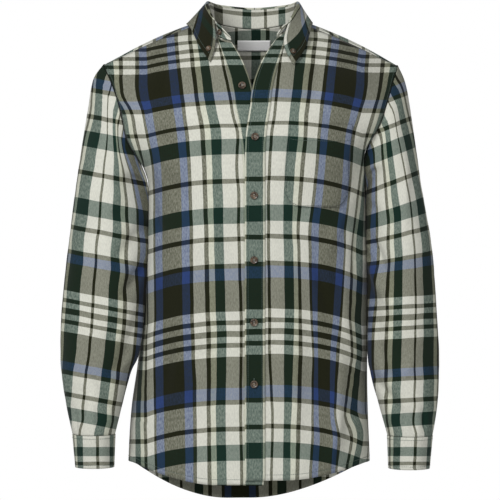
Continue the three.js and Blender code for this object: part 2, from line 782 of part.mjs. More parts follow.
function pocketSpot(row, column) {
  const across = column / pocketColumns;
  const width = pocket.outerX - pocket.innerX;
  const fromSide = Math.min(across, 1 - across) * width;
  const inCorner = Math.max(0, pocket.corner - fromSide);
  const rise = pocket.corner - Math.sqrt(pocket.corner ** 2 - inCorner ** 2);
  const z = mix(pocket.bottomZ + rise, pocket.topZ, row / pocketRows);
  const lean = pocket.lean * easeIn(1 - (pocket.topZ - z) / pocket.leanHeight);
  return spotSeenAt(frontLeftGrid, pocket.innerX + width * across + lean, z);
}

const flatPocket = makeGrid(pocketRows, pocketColumns, pocketSpot);
const pocketGrid = moveOut(flatPocket, 1, pocket.stand + trimCloth);
addPiece("pocket", clothWall(pocketGrid, trimCloth, 1), flannel);

// Collar stand and collar

const standHalf = napeColumns + frontNeckColumns;
const standRows = 3;
const standGap = 0.8;

function standSpot(row, column) {
  const side = column < standHalf ? -1 : 1;
  const fromNape = Math.abs(column - standHalf);
  const station = fromNape <= napeColumns
    ? mix(6, yokeStation, fromNape / napeColumns)
    : mix(yokeStation, 0, (fromNape - napeColumns) / frontNeckColumns);
  const seam = neckPoint(side, station, "seam");
  const top = neckPoint(side, station, "top");
  seam.z += standGap;
  return seam.lerp(top, row / standRows);
}

const standGrid = makeGrid(standRows, 2 * standHalf, standSpot);
addPiece("collar_stand", clothWall(standGrid, foldedCloth, 1), flannelCream);

const collarHalf = 12;
const collarFallRows = 4;
const collarStart = 2;
const collarEdges = { right: pastNape(collarEdgeRight), left: pastNape(collarEdgeLeft) };
const leafTuck = 1;
const leafBulge = { right: 5, left: 12, forward: 3, reach: 1.2, lowness: 1.2 };
const foldRoll = { inward: -1.8, rise: 1.5, overRise: 4, over: 1.6, outward: 5.4 };

// Fine samples of a grid's surface with their outward directions
function surfaceSamples(grid, facing) {
  const steps = 4;
  const normals = gridNormals(grid, false, facing);
  const samples = [];
  const blend = (table, row, column, up, out) => {
    const low = table[row][column].clone().lerp(table[row][column + 1], out);
    return low.lerp(table[row + 1][column].clone().lerp(table[row + 1][column + 1], out), up);
  };
  for (let row = 0; row < grid.length - 1; row += 1) {
    for (let column = 0; column < grid[0].length - 1; column += 1) {
      for (let step = 0; step < steps * steps; step += 1) {
        const up = Math.floor(step / steps) / (steps - 1);
        const out = (step % steps) / (steps - 1);
        samples.push({
          spot: blend(grid, row, column, up, out),
          normal: blend(normals, row, column, up, out).normalize(),
        });
      }
    }
  }
  return samples;
}

// Moves a spot out until it clears the cloth beneath it
function restOn(spot, samples, clearance) {
  let nearest = samples[0];
  for (const sample of samples) {
    if (sample.spot.distanceToSquared(spot) < nearest.spot.distanceToSquared(spot)) {
      nearest = sample;
    }
  }
  const height = spot.clone().sub(nearest.spot).dot(nearest.normal);
  return height < clearance ? spot.addScaledVector(nearest.normal, clearance - height) : spot;
}

const underCollar = [
  ...surfaceSamples(yokeGrid, -1),
  ...surfaceSamples(bandGrid(-1), -1),
  ...surfaceSamples(bandGrid(1), 1),
  ...surfaceSamples(frontRightGrid, -1),
  ...surfaceSamples(frontLeftGrid, 1),
];
const collarRest = 1.4;

function collarSpot(row, column) {
  const across = column / collarHalf - 1;
  const side = across < 0 ? -1 : 1;
  const station = mix(6, collarStart, Math.abs(across));
  const table = side < 0 ? collarEdges.right : collarEdges.left;
  const read = (key) => readTable(table, "station", key, station);
  const edge = point(side * read("x"), read("y"), read("z"));
  const top = neckPoint(side, station, "top");
  const away = point(edge.x - top.x, edge.y - top.y, 0).normalize();
  if (row < 2) {
    top.z += row === 0 ? foldRoll.rise : foldRoll.overRise;
    return top.addScaledVector(away, row === 0 ? foldRoll.inward : foldRoll.over);
  }
  top.addScaledVector(away, foldRoll.outward);
  const middle = top.clone().lerp(edge, 0.4).addScaledVector(away, -leafTuck);
  const fallen = (row - 2) / collarFallRows;
  const spot = curveThrough(top, middle, edge, fallen);
  const bulge = side < 0 ? leafBulge.right : leafBulge.left;
  const nearEnd = Math.max(0, 1 - (station - collarStart) / leafBulge.reach) ** 2;
  const rolled = nearEnd * Math.sin(Math.PI * fallen ** leafBulge.lowness);
  spot.x -= side * bulge * rolled;
  spot.y -= leafBulge.forward * rolled;
  return restOn(spot, underCollar, foldedCloth + collarRest);
}

const collarGrid = makeGrid(collarFallRows + 2, 2 * collarHalf, collarSpot);
addPiece("collar", clothWall(collarGrid, foldedCloth, -1), flannelDark);

// Sleeves with their slits, and cuffs

function sleeveGrid(side) {
  const parts = armholeParts(side);
  return makeGrid(sleeveRows, parts.length - 1, (row, column) => (
    sleevePoint(side, parts[column].around, lastSleeveRow * row / sleeveRows, parts[column])
  ));
}

function cuffGrid(side) {
  const turn = 360 + cuffLap.overlap;
  return makeGrid(cuffRows, cuffSides, (row, column) => {
    const degrees = cuffLap.start + turn * column / cuffSides;
    const pastStart = degrees - cuffLap.start - 360;
    const lift = cuffLap.lift * easeIn(1 + pastStart / cuffLap.liftRun);
    return cuffPoint(side, THREE.MathUtils.degToRad(degrees), row / cuffRows, lift);
  });
}

function slitSpot(side, row, column) {
  const place = lastSleeveRow - sleeveSlit.fromCuff - sleeveSlit.sections * row / sleeveSlit.rows;
  const { reach, depth } = sleeveFrame(side, place);
  const radius = (reach.length() + depth) / 2;
  const half = sleeveSlit.width / 2 / radius;
  const around = THREE.MathUtils.degToRad(sleeveSlit.around) + mix(-half, half, column / 2);
  return sleevePoint(side, around, place, smoothRing);
}

for (const [name, side] of [["right", -1], ["left", 1]]) {
  addPiece("sleeve_" + name, clothWall(sleeveGrid(side), bodyCloth, -side, true), flannel);
  addPiece("cuff_" + name, clothWall(cuffGrid(side), foldedCloth, -side), flannelCream);
  const flatSlit = makeGrid(sleeveSlit.rows, 2, (row, column) => slitSpot(side, row, column));
  const slit = moveOut(flatSlit, side, seamGap + trimCloth);
  addPiece("sleeve_placket_" + name, clothWall(slit, trimCloth, side), flannelGreen);
}

// Blank label inside the back of the neck

function labelSpot(row, column) {
  const x = mix(-label.width / 2, label.width / 2, column / label.columns);
  const z = label.topZ - label.height * (1 - row);
  return point(x, spotSeenAt(yokeGrid, x, z).y - bodyCloth - labelStand, z);
}

addPiece("neck_label", clothWall(makeGrid(1, label.columns, labelSpot), label.thickness, -1), labelWhite);

// Buttons

function buttonShape(radius) {
  const { thickness, rim, dish, sides } = buttonSize;
  const profile = [
    new THREE.Vector2(0, 0),
    new THREE.Vector2(radius - 0.8, 0),
    new THREE.Vector2(radius, thickness * 0.55),
    new THREE.Vector2(radius - rim * 0.6, thickness),
    new THREE.Vector2(radius - rim * 1.5, thickness - dish),
    new THREE.Vector2(0, thickness - dish),
  ];
  return new THREE.LatheGeometry(profile, sides);
}

function addButton(name, spot, normal, radius) {
  const button = addPiece(name, buttonShape(radius), horn);
  button.quaternion.setFromUnitVectors(point(0, 1, 0), normal);
  button.position.copy(spot).addScaledVector(normal, buttonGap);
}

// Puts a button on a grid of cloth, at a place counted in rows and columns. wall is the
// cloth between the grid and the face that the button is sewn on.
function addGridButton(name, grid, facing, row, column, radius, wall = 0) {
  const normals = gridNormals(grid, false, facing);
  const [low, high] = [Math.floor(row), Math.ceil(row)];
  const [near, far] = [Math.floor(column), Math.ceil(column)];
  const blend = (table) => table[low][near].clone().lerp(table[low][far], column - near)
    .lerp(table[high][near].clone().lerp(table[high][far], column - near), row - low);
  const normal = blend(normals).normalize();
  addButton(name, blend(grid).addScaledVector(normal, wall), normal, radius);
}

function rowAtHeight(grid, column, z) {
  let row = 0;
  while (grid[row + 1][column].z < z) {
    row += 1;
  }
  return row + (z - grid[row][column].z) / (grid[row + 1][column].z - grid[row][column].z);
}

const buttonColumn = bandColumns * buttonFromEdge / placketWidth;
[openButtonZ, ...placketButtonZ].forEach((z, index) => {
  const [grid, side] = index === 0 ? [bandRightGrid, -1] : [placketGrid, 1];
  const row = rowAtHeight(grid, 1, z);
  addGridButton("button_front_" + (index + 1), grid, side, row, buttonColumn, buttonSize.radius);
});

const standButton = { row: 1.35, column: 1.45 };
addGridButton("button_stand", standGrid, -1, standButton.row, standButton.column,
  smallButtonRadius, foldedCloth);

const collarButton = { row: 5.3, fromEnd: 0.45 };
for (const [name, side, column] of [
  ["right", -1, collarButton.fromEnd],
  ["left", 1, 2 * collarHalf - collarButton.fromEnd],
]) {
  addGridButton("button_collar_" + name, collarGrid, 1, collarButton.row, column,
    smallButtonRadius, foldedCloth);
  addGridButton("button_cuff_" + name, cuffGrid(side), -side, cuffRows / 2, cuffSides - 0.5,
    smallButtonRadius);
}

export default shirt;
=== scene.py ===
import functools
import math
import bmesh
import bpy
from mathutils import Matrix, Vector, kdtree, noise
from mathutils.bvhtree import BVHTree


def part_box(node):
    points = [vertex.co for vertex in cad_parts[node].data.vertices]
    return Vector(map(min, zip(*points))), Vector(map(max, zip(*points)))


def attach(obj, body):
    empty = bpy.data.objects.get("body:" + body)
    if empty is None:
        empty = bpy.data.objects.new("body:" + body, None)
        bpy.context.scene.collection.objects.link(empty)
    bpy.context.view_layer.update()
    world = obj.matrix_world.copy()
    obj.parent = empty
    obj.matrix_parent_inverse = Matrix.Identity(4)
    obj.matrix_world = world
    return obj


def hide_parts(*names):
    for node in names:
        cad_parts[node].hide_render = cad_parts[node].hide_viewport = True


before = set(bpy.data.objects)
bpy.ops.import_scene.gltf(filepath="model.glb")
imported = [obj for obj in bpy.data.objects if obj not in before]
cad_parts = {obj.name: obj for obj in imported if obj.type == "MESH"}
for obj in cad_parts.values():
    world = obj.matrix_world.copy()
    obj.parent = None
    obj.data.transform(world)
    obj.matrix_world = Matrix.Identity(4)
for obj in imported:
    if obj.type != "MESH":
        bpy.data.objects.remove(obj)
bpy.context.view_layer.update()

mm = 0.001
print("frame loaded:", len(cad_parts), "nodes")

# All shapes are worked out in millimetres, front to -Y, the wearer's left to +X,
# and come down to metres when a mesh is made.

# Tables of the cut. The sections and broad folds are the same as the solids have, and the cloth
# is thinner than theirs.

cloth = {"body": 1.0, "folded": 2.0, "trim": 0.9, "seamGap": 0.3, "armholeGap": 1.2, "layerGap": 0.2}

levels = {
    "underarm": -274, "underarmRise": 18, "chest": -126, "chestRise": 6, "backSeam": -92,
    "sideHem": -696, "frontHem": {-1: -726, 1: -718}, "backHem": -771,
    "frontHemStart": 0.2, "frontHemRun": 0.65, "backHemStart": {-1: 0.13, 1: -0.02},
}
rowsOf = {"skirt": 13, "armhole": 5, "shoulder": 4, "backArmhole": 6, "yoke": 6}
columnsOf = {"frontNeck": 4, "nape": 5, "shoulder": 8}


def table(names, rows):
    names = names.split()
    return [dict(zip(names, row)) for row in rows]


bodySections = table("z right left front back frontEdge backEdge square", [
    (-780, 205, 188, 129, 134, 0, 0, 2.3), (-690, 203, 187, 129, 133, 0, 0, 2.3),
    (-610, 198, 184, 128, 131, 0, 0, 2.3), (-540, 188, 183, 127, 129, 0, 0, 2.3),
    (-460, 180, 185, 129, 128, 0, 0, 2.35), (-400, 177, 185, 131, 128, 0, 0, 2.4),
    (-330, 173.5, 182, 134, 130, 0, 0, 2.4), (-274, 172, 180, 136, 132, 0, 0, 2.4),
    (-240, 177, 178, 137, 133, 34, 38, 2.4), (-200, 191, 181, 136, 133, 55, 59, 2.45),
    (-165, 204, 194, 133, 132, 65, 69, 2.5), (-126, 215, 210, 127, 129, 64, 68, 2.5),
    (-92, 222, 220, 118, 122, 52, 56, 2.5),
])
openingEdges = table("z right left", [
    (-780, -15, -14.5), (-240, -15, -14.5), (-190, -12, -14), (-160, -7, -11), (-126, 0.5, -5.5),
])
neckColumns = "station seamX seamY seamZ topX topY topZ"
neckRight = table(neckColumns, [
    (0, 37, -79, -24, 38, -79.5, -18), (1, 48, -73, -21, 51, -71, -3),
    (2, 59, -61, -13, 63, -58, 9), (3, 67, -34, 6, 72, -31, 29), (4, 70, 0, 18, 74, 4, 43),
    (5, 52, 49, 12, 54, 53, 42), (6, 0, 72, 7, 0, 77, 39.5),
])
neckLeft = table(neckColumns, [
    (0, 37, -77, -18, 38, -77.5, -13), (1, 43, -70, -12, 47, -70, 0),
    (2, 52, -57, -3, 56, -57, 8), (3, 64, -33, 7, 66, -31, 29), (4, 69, 0, 14, 70, 4, 42.5),
    (5, 52, 49, 12, 52, 53, 42), (6, 0, 72, 7, 0, 77, 39.5),
])
collarEdgeRight = table("station x y z", [
    (2, 70, -97, -59), (2.5, 88, -69, -30), (3.2, 102, -34, 0), (4, 109.5, -6, 9),
    (4.6, 100, 50, 5), (5.3, 62, 88, 1), (6, 0, 102, -1),
])
collarEdgeLeft = table("station x y z", [
    (2, 63, -101, -63), (2.5, 80, -78, -38), (3.2, 90.5, -42, -5), (4, 94.5, -6, 12),
    (4.6, 92, 50, 7), (5.3, 60, 88, 1), (6, 0, 102, -1),
])
# places round the neck: the yoke's front seam, the nape and the collar's end
yokeStation = 3.7
napeStation = 6
collarEndStation = 2
shoulderTips = {-1: Vector((-242, -20, -58.5)), 1: Vector((231, -20, -60.5))}
neckShare = 0.24
yokeNeckShare = 0.5
shoulderBow = 3
yokeCrown = {"least": 38, "rate": 0.74, "inward": 0.6, "back": 0.4, "up": 0.45}
chestCurve = {"below": 12, "reachAtOpening": 0.5, "reachAtArmhole": 0.36,
              "waveShare": 0.7, "waveRun": 0.3}
underlap = {"depth": 4.3, "start": 0.1, "run": 0.22}

sleeveColumns = "row outer outerZ inner innerZ depth forward"
sleeveTables = {
    -1: table(sleeveColumns, [
        (0, 242, -58, 173, -274, 68, -2), (1, 258, -82, 175.5, -278, 72, 0),
        (2, 267.5, -126, 175.5, -288, 72, 4), (3, 278.5, -190, 174.5, -306, 69, 12),
        (4, 288, -254, 174.5, -336, 66, 22), (5, 295.5, -324, 174.5, -378, 64, 33),
        (6, 302.5, -389, 174, -424, 62, 42), (7, 307, -454, 176, -472, 60, 47),
        (8, 309.5, -518, 184, -522, 58, 50), (9, 308, -553, 196, -550, 56, 51),
        (10, 304, -583, 204, -579, 53, 52), (11, 297.5, -616, 213, -614, 50, 53),
        (12, 290, -650, 222, -650, 46, 54),
    ]),
    1: table(sleeveColumns, [
        (0, 231, -58, 181, -274, 68, -2), (1, 243, -86, 183, -278, 72, 0),
        (2, 252, -130, 183.5, -288, 72, 4), (3, 261, -190, 183.5, -306, 69, 12),
        (4, 270, -254, 183, -336, 66, 22), (5, 280.5, -324, 182, -378, 64, 33),
        (6, 288, -389, 181.5, -424, 62, 42), (7, 291.5, -454, 181.5, -472, 60, 47),
        (8, 294.5, -518, 183, -526, 58, 50), (9, 294.5, -556, 188, -556, 56, 51),
        (10, 294, -586, 195, -584, 53, 52), (11, 291, -620, 203, -617, 50, 53),
        (12, 285, -652, 213, -652, 46, 54),
    ]),
}
armholeBlendRows = 4.5
lastSleeveRow = 12

# Broad folds of the solids first, then the finer creases. x and z are the middle,
# lean is degrees from upright with the foot to the wearer's left, minus depth is a trough.
foldColumns = "face x z lean length width depth"
bodyFolds = table(foldColumns, [
    ("front", -176, -232, 28, 130, 13, -7), ("front", -196, -190, 24, 110, 12, 6),
    ("front", 176, -200, -26, 110, 14, -5), ("front", 188, -160, -22, 100, 12, 5),
    ("front", -166, -585, -3, 300, 15, 4), ("front", -148, -570, -4, 300, 14, -5),
    ("front", 92, -510, 5, 300, 20, -6), ("front", 132, -560, 5, 280, 17, 5),
    ("front", 150, -640, 5, 170, 13, -5), ("front", -70, -600, -5, 240, 22, -4),
    ("back", -150, -300, 14, 300, 18, -7), ("back", 146, -310, -15, 320, 18, -7),
    ("back", -66, -560, 4, 340, 24, -7), ("back", 48, -590, -5, 300, 22, 6),
    ("back", 112, -600, -3, 280, 20, -6), ("back", -130, -620, 3, 240, 20, 6),
])
fineCreases = table(foldColumns, [
    ("front", -158, -300, 16, 150, 7, -2.4), ("front", -120, -262, 38, 120, 9, -1.8),
    ("front", -140, -186, 52, 90, 7, -1.6), ("front", -168, -430, 4, 190, 7, 2.2),
    ("front", -118, -520, -3, 210, 9, 1.8), ("front", -92, -400, 6, 170, 10, -1.5),
    ("front", -60, -330, 10, 130, 9, 1.1), ("front", -104, -660, -8, 120, 8, -1.9),
    ("front", -44, -660, 3, 120, 9, 1.5), ("front", 152, -262, -30, 120, 7, -2.2),
    ("front", 128, -330, -20, 120, 9, 1.6), ("front", 164, -350, -6, 160, 7, -2.2),
    ("front", 112, -430, 14, 170, 8, -2.6), ("front", 126, -660, -12, 130, 8, 2.4),
    ("front", 66, -600, 3, 210, 9, 1.7), ("front", 146, -470, 6, 150, 7, 2),
    ("front", 60, -420, -12, 110, 9, -1), ("front", 108, -128, 60, 80, 8, -1.1),
    ("front", -128, -112, -58, 80, 9, -1.2), ("front", -90, -150, -70, 90, 8, 0.9),
    ("back", -104, -240, 24, 150, 9, -2), ("back", 100, -250, -22, 160, 9, -2.1),
    ("back", -30, -420, 2, 220, 10, 1.8), ("back", 20, -480, -3, 200, 9, -2),
    ("back", -100, -470, 5, 190, 9, -2), ("back", 84, -470, -6, 210, 9, 2.2),
    ("back", 158, -480, 3, 200, 8, -2.2), ("back", -164, -500, -2, 210, 8, 2),
    ("back", 0, -660, 0, 150, 10, 2), ("back", -90, -680, 6, 130, 8, -2),
    ("back", 60, -180, -62, 110, 9, 1.2), ("back", -52, -170, 64, 100, 9, 1.2),
])
sleeveFoldColumns = "side around row slant length width depth"
sleeveFolds = table(sleeveFoldColumns, [
    (-1, 55, 2.2, 22, 3.2, 15, -5), (-1, 40, 7.4, 20, 4.4, 15, -5),
    (-1, 76, 9.4, -16, 4.4, 15, -5), (-1, 250, 6.5, -18, 4.5, 18, -6),
    (-1, 300, 8.6, 14, 4, 16, -5), (1, 48, 2, 26, 3.2, 16, -6),
    (1, 34, 6.6, 20, 4.4, 15, -6), (1, 52, 10.2, 26, 3.6, 15, -6),
    (1, 255, 6.8, -18, 4.5, 18, -6), (1, 298, 8.8, 14, 4, 16, -5),
    # deeper hollows at the underarm and elbow, then finer creases, also above the cuff
    (-1, 34, 1.7, 26, 2.2, 12, -5), (-1, 46, 5.9, 22, 2.4, 11, -8),
    (1, 30, 1.5, 30, 2, 14, -6), (1, 48, 5, 20, 2.4, 10, -11), (1, 72, 4.8, 20, 2.4, 9, 5),
    (-1, 40, 4.2, 28, 2.2, 11, -5), (1, 66, 2.6, 26, 2.6, 12, -5),
    (1, 54, 1.7, 30, 2.4, 8, -4), (1, 46, 3.3, 24, 2.6, 8, -3.4), (1, 64, 4.5, 22, 2.2, 8, -3),
    (-1, 52, 2, 26, 2.4, 8, -3.4), (-1, 62, 4.9, 24, 2.4, 8, -3), (-1, 48, 8.4, 16, 2.6, 8, -3),
    (1, 50, 8.2, 16, 2.8, 8, -3.4),
    (-1, 30, 5.4, 34, 1.7, 8, -3), (-1, 52, 6.3, 30, 1.8, 8, 2.4),
    (-1, 66, 7.2, 26, 1.8, 8, -2.2), (-1, 92, 8.2, -22, 2.4, 8, 1.8),
    (-1, 110, 10.6, 6, 2.4, 7, -2.4), (-1, 78, 11.2, -4, 1.7, 6, -2.6),
    (-1, 134, 11.3, 5, 1.5, 6, -2.2), (-1, 48, 11.2, -6, 1.6, 6, 2.2),
    (-1, 120, 4, -12, 2.6, 9, 1.6), (-1, 80, 3.4, 16, 2.4, 8, 1.8),
    (-1, 215, 9.8, 12, 2.8, 8, -2.4), (-1, 275, 10.6, -6, 2.4, 8, -2.2),
    (-1, 205, 4, 14, 2.6, 9, 1.8), (-1, 330, 6, -20, 2.2, 8, -2.4),
    (1, 28, 5, 34, 1.7, 8, -3), (1, 50, 6, 30, 1.9, 8, 2.6),
    (1, 64, 7, 28, 1.8, 8, -2.4), (1, 96, 8.4, -20, 2.4, 8, 1.8),
    (1, 66, 11.3, -4, 1.6, 6, -3), (1, 92, 11.2, 3, 1.7, 6, -2.6),
    (1, 120, 11.1, 5, 1.6, 6, -2.4), (1, 44, 11.1, -8, 1.7, 6, 2.2),
    (1, 112, 3.8, -14, 2.6, 9, 1.6), (1, 78, 3, 18, 2.2, 8, 1.8),
    (1, 212, 9.6, 12, 2.8, 8, -2.4), (1, 272, 10.4, -6, 2.4, 8, -2.2),
    (1, 208, 4.2, 14, 2.6, 9, 1.8), (1, 328, 6.2, -20, 2.2, 8, -2.4),
])

# how far the inner side of each sleeve leans in towards the body, by row
nestle = {-1: [(0, 0), (0.5, 3.5), (1.2, 7), (2.4, 8), (4.4, 6.5), (5.6, 3), (6.8, 0), (12, 0)],
          1: [(0, 0), (0.7, 1.5), (1.6, 5.5), (4.4, 5.5), (5.6, 3), (6.8, 0), (12, 0)]}

standRise = 0.8
cuff = {"grow": 0.6, "drop": 0.6, "length": 52, "narrow": 3.4, "shift": 1.5,
        "lapStart": 232, "overlap": 24, "lift": 3.2, "liftRun": 50}
sleeveSlit = {"around": 245, "width": 24, "fromCuff": 0.05, "sections": 3.58, "stand": 1.5}
placket = {"width": 32, "stand": 0.6, "drop": 0.2}
pocket = {"innerX": 48.5, "outerX": 149, "topZ": -159, "bottomZ": -289, "corner": 26,
          "lean": 6.5, "leanHeight": 75, "stand": 1.3}
leaf = {"tuck": 1, "bulge": {-1: 5, 1: 12}, "forward": 3, "reach": 1.2, "lowness": 1.2,
        "inward": -1.8, "rise": 1.5, "overRise": 4, "over": 1.6, "outward": 5.4,
        "middle": 0.4, "clearance": 3.6, "fallRows": 4}
waviness = {"height": 2.1, "scale": 58, "fineHeight": 0.5, "fineScale": 17,
            "bodySeed": 3.7, "chestSeed": 9.1, "sleeveSeed": 5.3}
fineStrength = 2.1
fineSleeveStrength = 1.7
fineSleeveWidth = 10
# the fine creases fade towards the placket and the sides, and from the armhole to the cuff
calm = {"placket": 34, "placketRun": 26, "sideRun": 22, "sideLeast": 0.15,
        "armholeRows": 1.5, "cuffRows": 0.8}
nestleFocus = 1.5
# a fold reaches this share of its length from its middle
foldReach = 0.6


# Small maths.

def mix(start, end, share):
    return start + (end - start) * share


def easeIn(value):
    value = min(1, max(0, value))
    return value * value * (3 - 2 * value)


def readTable(rows, key, column, place):
    last = len(rows) - 1
    if place <= rows[0][key]:
        return rows[0][column]
    if place >= rows[last][key]:
        return rows[last][column]
    index = 0
    while rows[index + 1][key] < place:
        index += 1

    def slopeAt(at):
        before, after = rows[max(0, at - 1)], rows[min(last, at + 1)]
        return (after[column] - before[column]) / (after[key] - before[key])

    low, high = rows[index], rows[index + 1]
    span = high[key] - low[key]
    share = (place - low[key]) / span
    squared, cubed = share * share, share * share * share
    return ((2 * cubed - 3 * squared + 1) * low[column]
            + (cubed - 2 * squared + share) * span * slopeAt(index)
            + (3 * squared - 2 * cubed) * high[column]
            + (cubed - squared) * span * slopeAt(index + 1))


def readLine(pairs, place):
    # straight lines between pairs, carried on past both ends
    index = 0
    while index < len(pairs) - 2 and pairs[index + 1][0] < place:
        index += 1
    (fromPlace, fromValue), (toPlace, toValue) = pairs[index], pairs[index + 1]
    return mix(fromValue, toValue, (place - fromPlace) / (toPlace - fromPlace))


def curveThrough(start, middle, end, share):
    back = 1 - share
    return start * (back * back) + middle * (2 * share * back) + end * (share * share)


def smoothBetween(a, b, c, d, share):
    # a smooth curve from b to c, with a before them and d after
    return 0.5 * (2 * b + (c - a) * share + (2 * a - 5 * b + 4 * c - d) * share ** 2
                  + (3 * b - a - 3 * c + d) * share ** 3)


def lengthsAlong(line, depthShare=1):
    # how far along a line each of its spots lies
    lengths = [0]
    for start, end in zip(line, line[1:]):
        step = end - start
        step.y *= depthShare
        lengths.append(lengths[-1] + step.length)
    return lengths


def normalAt(grid, row, column):
    line = grid[row]
    up = grid[min(len(grid) - 1, row + 1)][column] - grid[max(0, row - 1)][column]
    across = line[min(len(line) - 1, column + 1)] - line[max(0, column - 1)]
    return across.cross(up).normalized()


def turnedOut(grid, side, distance):
    # a grid moved out along its own normals
    return [[spot + normalAt(grid, row, column) * (side * distance)
             for column, spot in enumerate(line)] for row, line in enumerate(grid)]


def gridOf(rows, columns, place):
    return [[place(row / rows, column / columns) for column in range(columns + 1)]
            for row in range(rows + 1)]


def wave(spot, seed):
    shift = Vector((seed, seed * 2, seed * 3))
    broad = noise.noise(Vector((spot.x, spot.y * 1.4, spot.z * 0.55)) / waviness["scale"] + shift)
    fine = noise.noise(spot / waviness["fineScale"] + shift)
    return broad * waviness["height"] + fine * waviness["fineHeight"]


# The body's surface.

def creaseHeight(rows, face, x, z):
    height = 0
    for fold in rows:
        if fold["face"] != face or abs(z - fold["z"]) > fold["length"] * foldReach:
            continue
        lean = math.radians(fold["lean"])
        along = (z - fold["z"]) * math.cos(lean) - (x - fold["x"]) * math.sin(lean)
        across = (x - fold["x"]) * math.cos(lean) + (z - fold["z"]) * math.sin(lean)
        end = 1 - (2 * along / fold["length"]) ** 2
        if end > 0:
            height += fold["depth"] * end * end * math.exp(-((across / fold["width"]) ** 2))
    return height


@functools.lru_cache(maxsize=None)
def sectionAt(face, side, z):
    edge = readTable(bodySections, "z", "right" if side < 0 else "left", z)
    depth = readTable(bodySections, "z", face, z)
    edgeDepth = max(0, readTable(bodySections, "z", face + "Edge", z))
    square = readTable(bodySections, "z", "square", z)
    halfWidth = edge / (1 - (edgeDepth / depth) ** square) ** (1 / square)
    return edge, depth, square, halfWidth


def surfaceAt(face, side, outward, z, fine=True):
    edge, depth, square, halfWidth = sectionAt(face, side, z)
    share = min(1, abs(outward) / halfWidth)
    forward = depth * (1 - share ** square) ** (1 / square)
    facing = -1 if face == "front" else 1
    x = outward * side
    away = Vector((x / halfWidth ** 2, facing * forward / depth ** 2, 0)).normalized()
    spot = Vector((x, facing * forward, z))
    lift = creaseHeight(bodyFolds, face, x, z)
    if fine:
        fade = easeIn((abs(x) - calm["placket"]) / calm["placketRun"]) if face == "front" else 1
        fade *= easeIn((edge - abs(x)) / calm["sideRun"] + calm["sideLeast"])
        creases = fineStrength * creaseHeight(fineCreases, face, x, z)
        lift += fade * (creases + wave(spot, waviness["bodySeed"]))
    return spot + away * lift


def edgeTurn(face, side, z):
    edge, depth, square, halfWidth = sectionAt(face, side, z)
    return math.asin(min(1, edge / halfWidth))


def frontBelowChest(side, share, z, fine=True):
    halfWidth = sectionAt("front", side, z)[3]
    inner = readTable(openingEdges, "z", "right" if side < 0 else "left", z)
    turn = mix(math.asin(inner / halfWidth), edgeTurn("front", side, z), share)
    return surfaceAt("front", side, halfWidth * math.sin(turn), z, fine)


def pastNape(rows):
    beyond = []
    for row in reversed(rows[:-1]):
        mirrored = dict(row, station=2 * napeStation - row["station"])
        for key in ("seamX", "topX", "x"):
            if key in mirrored:
                mirrored[key] = -row[key]
        beyond.append(mirrored)
    return rows + beyond


neckTables = {-1: pastNape(neckRight), 1: pastNape(neckLeft)}
collarEdges = {-1: pastNape(collarEdgeRight), 1: pastNape(collarEdgeLeft)}


def neckPoint(side, station, line):
    rows = neckTables[side]
    x, y, z = (readTable(rows, "station", line + axis, station) for axis in "XYZ")
    return Vector((side * x, y, z))


def shoulderSeam(side, share):
    inner = neckPoint(side, yokeStation, "seam")
    bow = math.sin(math.pi * share) * shoulderBow
    return inner.lerp(shoulderTips[side], share) + Vector((0, -bow, bow))


def frontTop(side, share):
    if share < neckShare:
        return neckPoint(side, yokeStation * share / neckShare, "seam")
    return shoulderSeam(side, (share - neckShare) / (1 - neckShare))


def frontLevel(side, share, row):
    ease = easeIn((share - levels["frontHemStart"]) / levels["frontHemRun"])
    hem = mix(levels["frontHem"][side], levels["sideHem"], ease)
    underarm = levels["underarm"] + levels["underarmRise"] * (1 - share * share)
    chest = levels["chest"] + levels["chestRise"] * (1 - share * share)
    if row <= rowsOf["skirt"]:
        return mix(hem, underarm, row / rowsOf["skirt"])
    return mix(underarm, chest, (row - rowsOf["skirt"]) / rowsOf["armhole"])


def tuckUnder(spot, side, share, climbed):
    if side < 0:
        faded = easeIn((share - underlap["start"]) / underlap["run"])
        spot.y += underlap["depth"] * (1 - faded) * (1 - climbed)
    return spot


def frontPoint(side, share, row, fine=True):
    lastRow = rowsOf["skirt"] + rowsOf["armhole"]
    z = frontLevel(side, share, min(row, lastRow))
    chest = frontBelowChest(side, share, z, fine)
    if row <= lastRow:
        return tuckUnder(chest, side, share, 0)
    below = frontBelowChest(side, share, z - chestCurve["below"], fine)
    top = frontTop(side, share)
    climb = chest - below
    part = mix(chestCurve["reachAtOpening"], chestCurve["reachAtArmhole"], share)
    middle = chest + climb * (part * (top.z - chest.z) / climb.z)
    climbed = (row - lastRow) / rowsOf["shoulder"]
    spot = curveThrough(chest, middle, top, climbed)
    spot.z -= cloth["seamGap"] * easeIn(row - lastRow - rowsOf["shoulder"] + 1)
    if fine:
        bow = wave(spot, waviness["chestSeed"]) * math.sin(math.pi * climbed)
        spot.y -= chestCurve["waveShare"] * bow * easeIn(share / chestCurve["waveRun"])
    return tuckUnder(spot, side, share, climbed)


# The back and the yoke.

def backPoint(across, row, fine=True):
    side = -1 if across < 0 else 1
    share = abs(across)
    start = levels["backHemStart"][side]
    hem = mix(levels["backHem"], levels["sideHem"], easeIn((share - start) / (1 - start)))
    underarm = levels["underarm"] + levels["underarmRise"] * (1 - share * share)
    if row <= rowsOf["skirt"]:
        z = mix(hem, underarm, row / rowsOf["skirt"])
    else:
        z = mix(underarm, levels["backSeam"], (row - rowsOf["skirt"]) / rowsOf["backArmhole"])
    halfWidth = sectionAt("back", side, z)[3]
    outward = halfWidth * math.sin(share * edgeTurn("back", side, z))
    spot = surfaceAt("back", side, outward, z, fine)
    spot.y += cloth["seamGap"]
    return spot


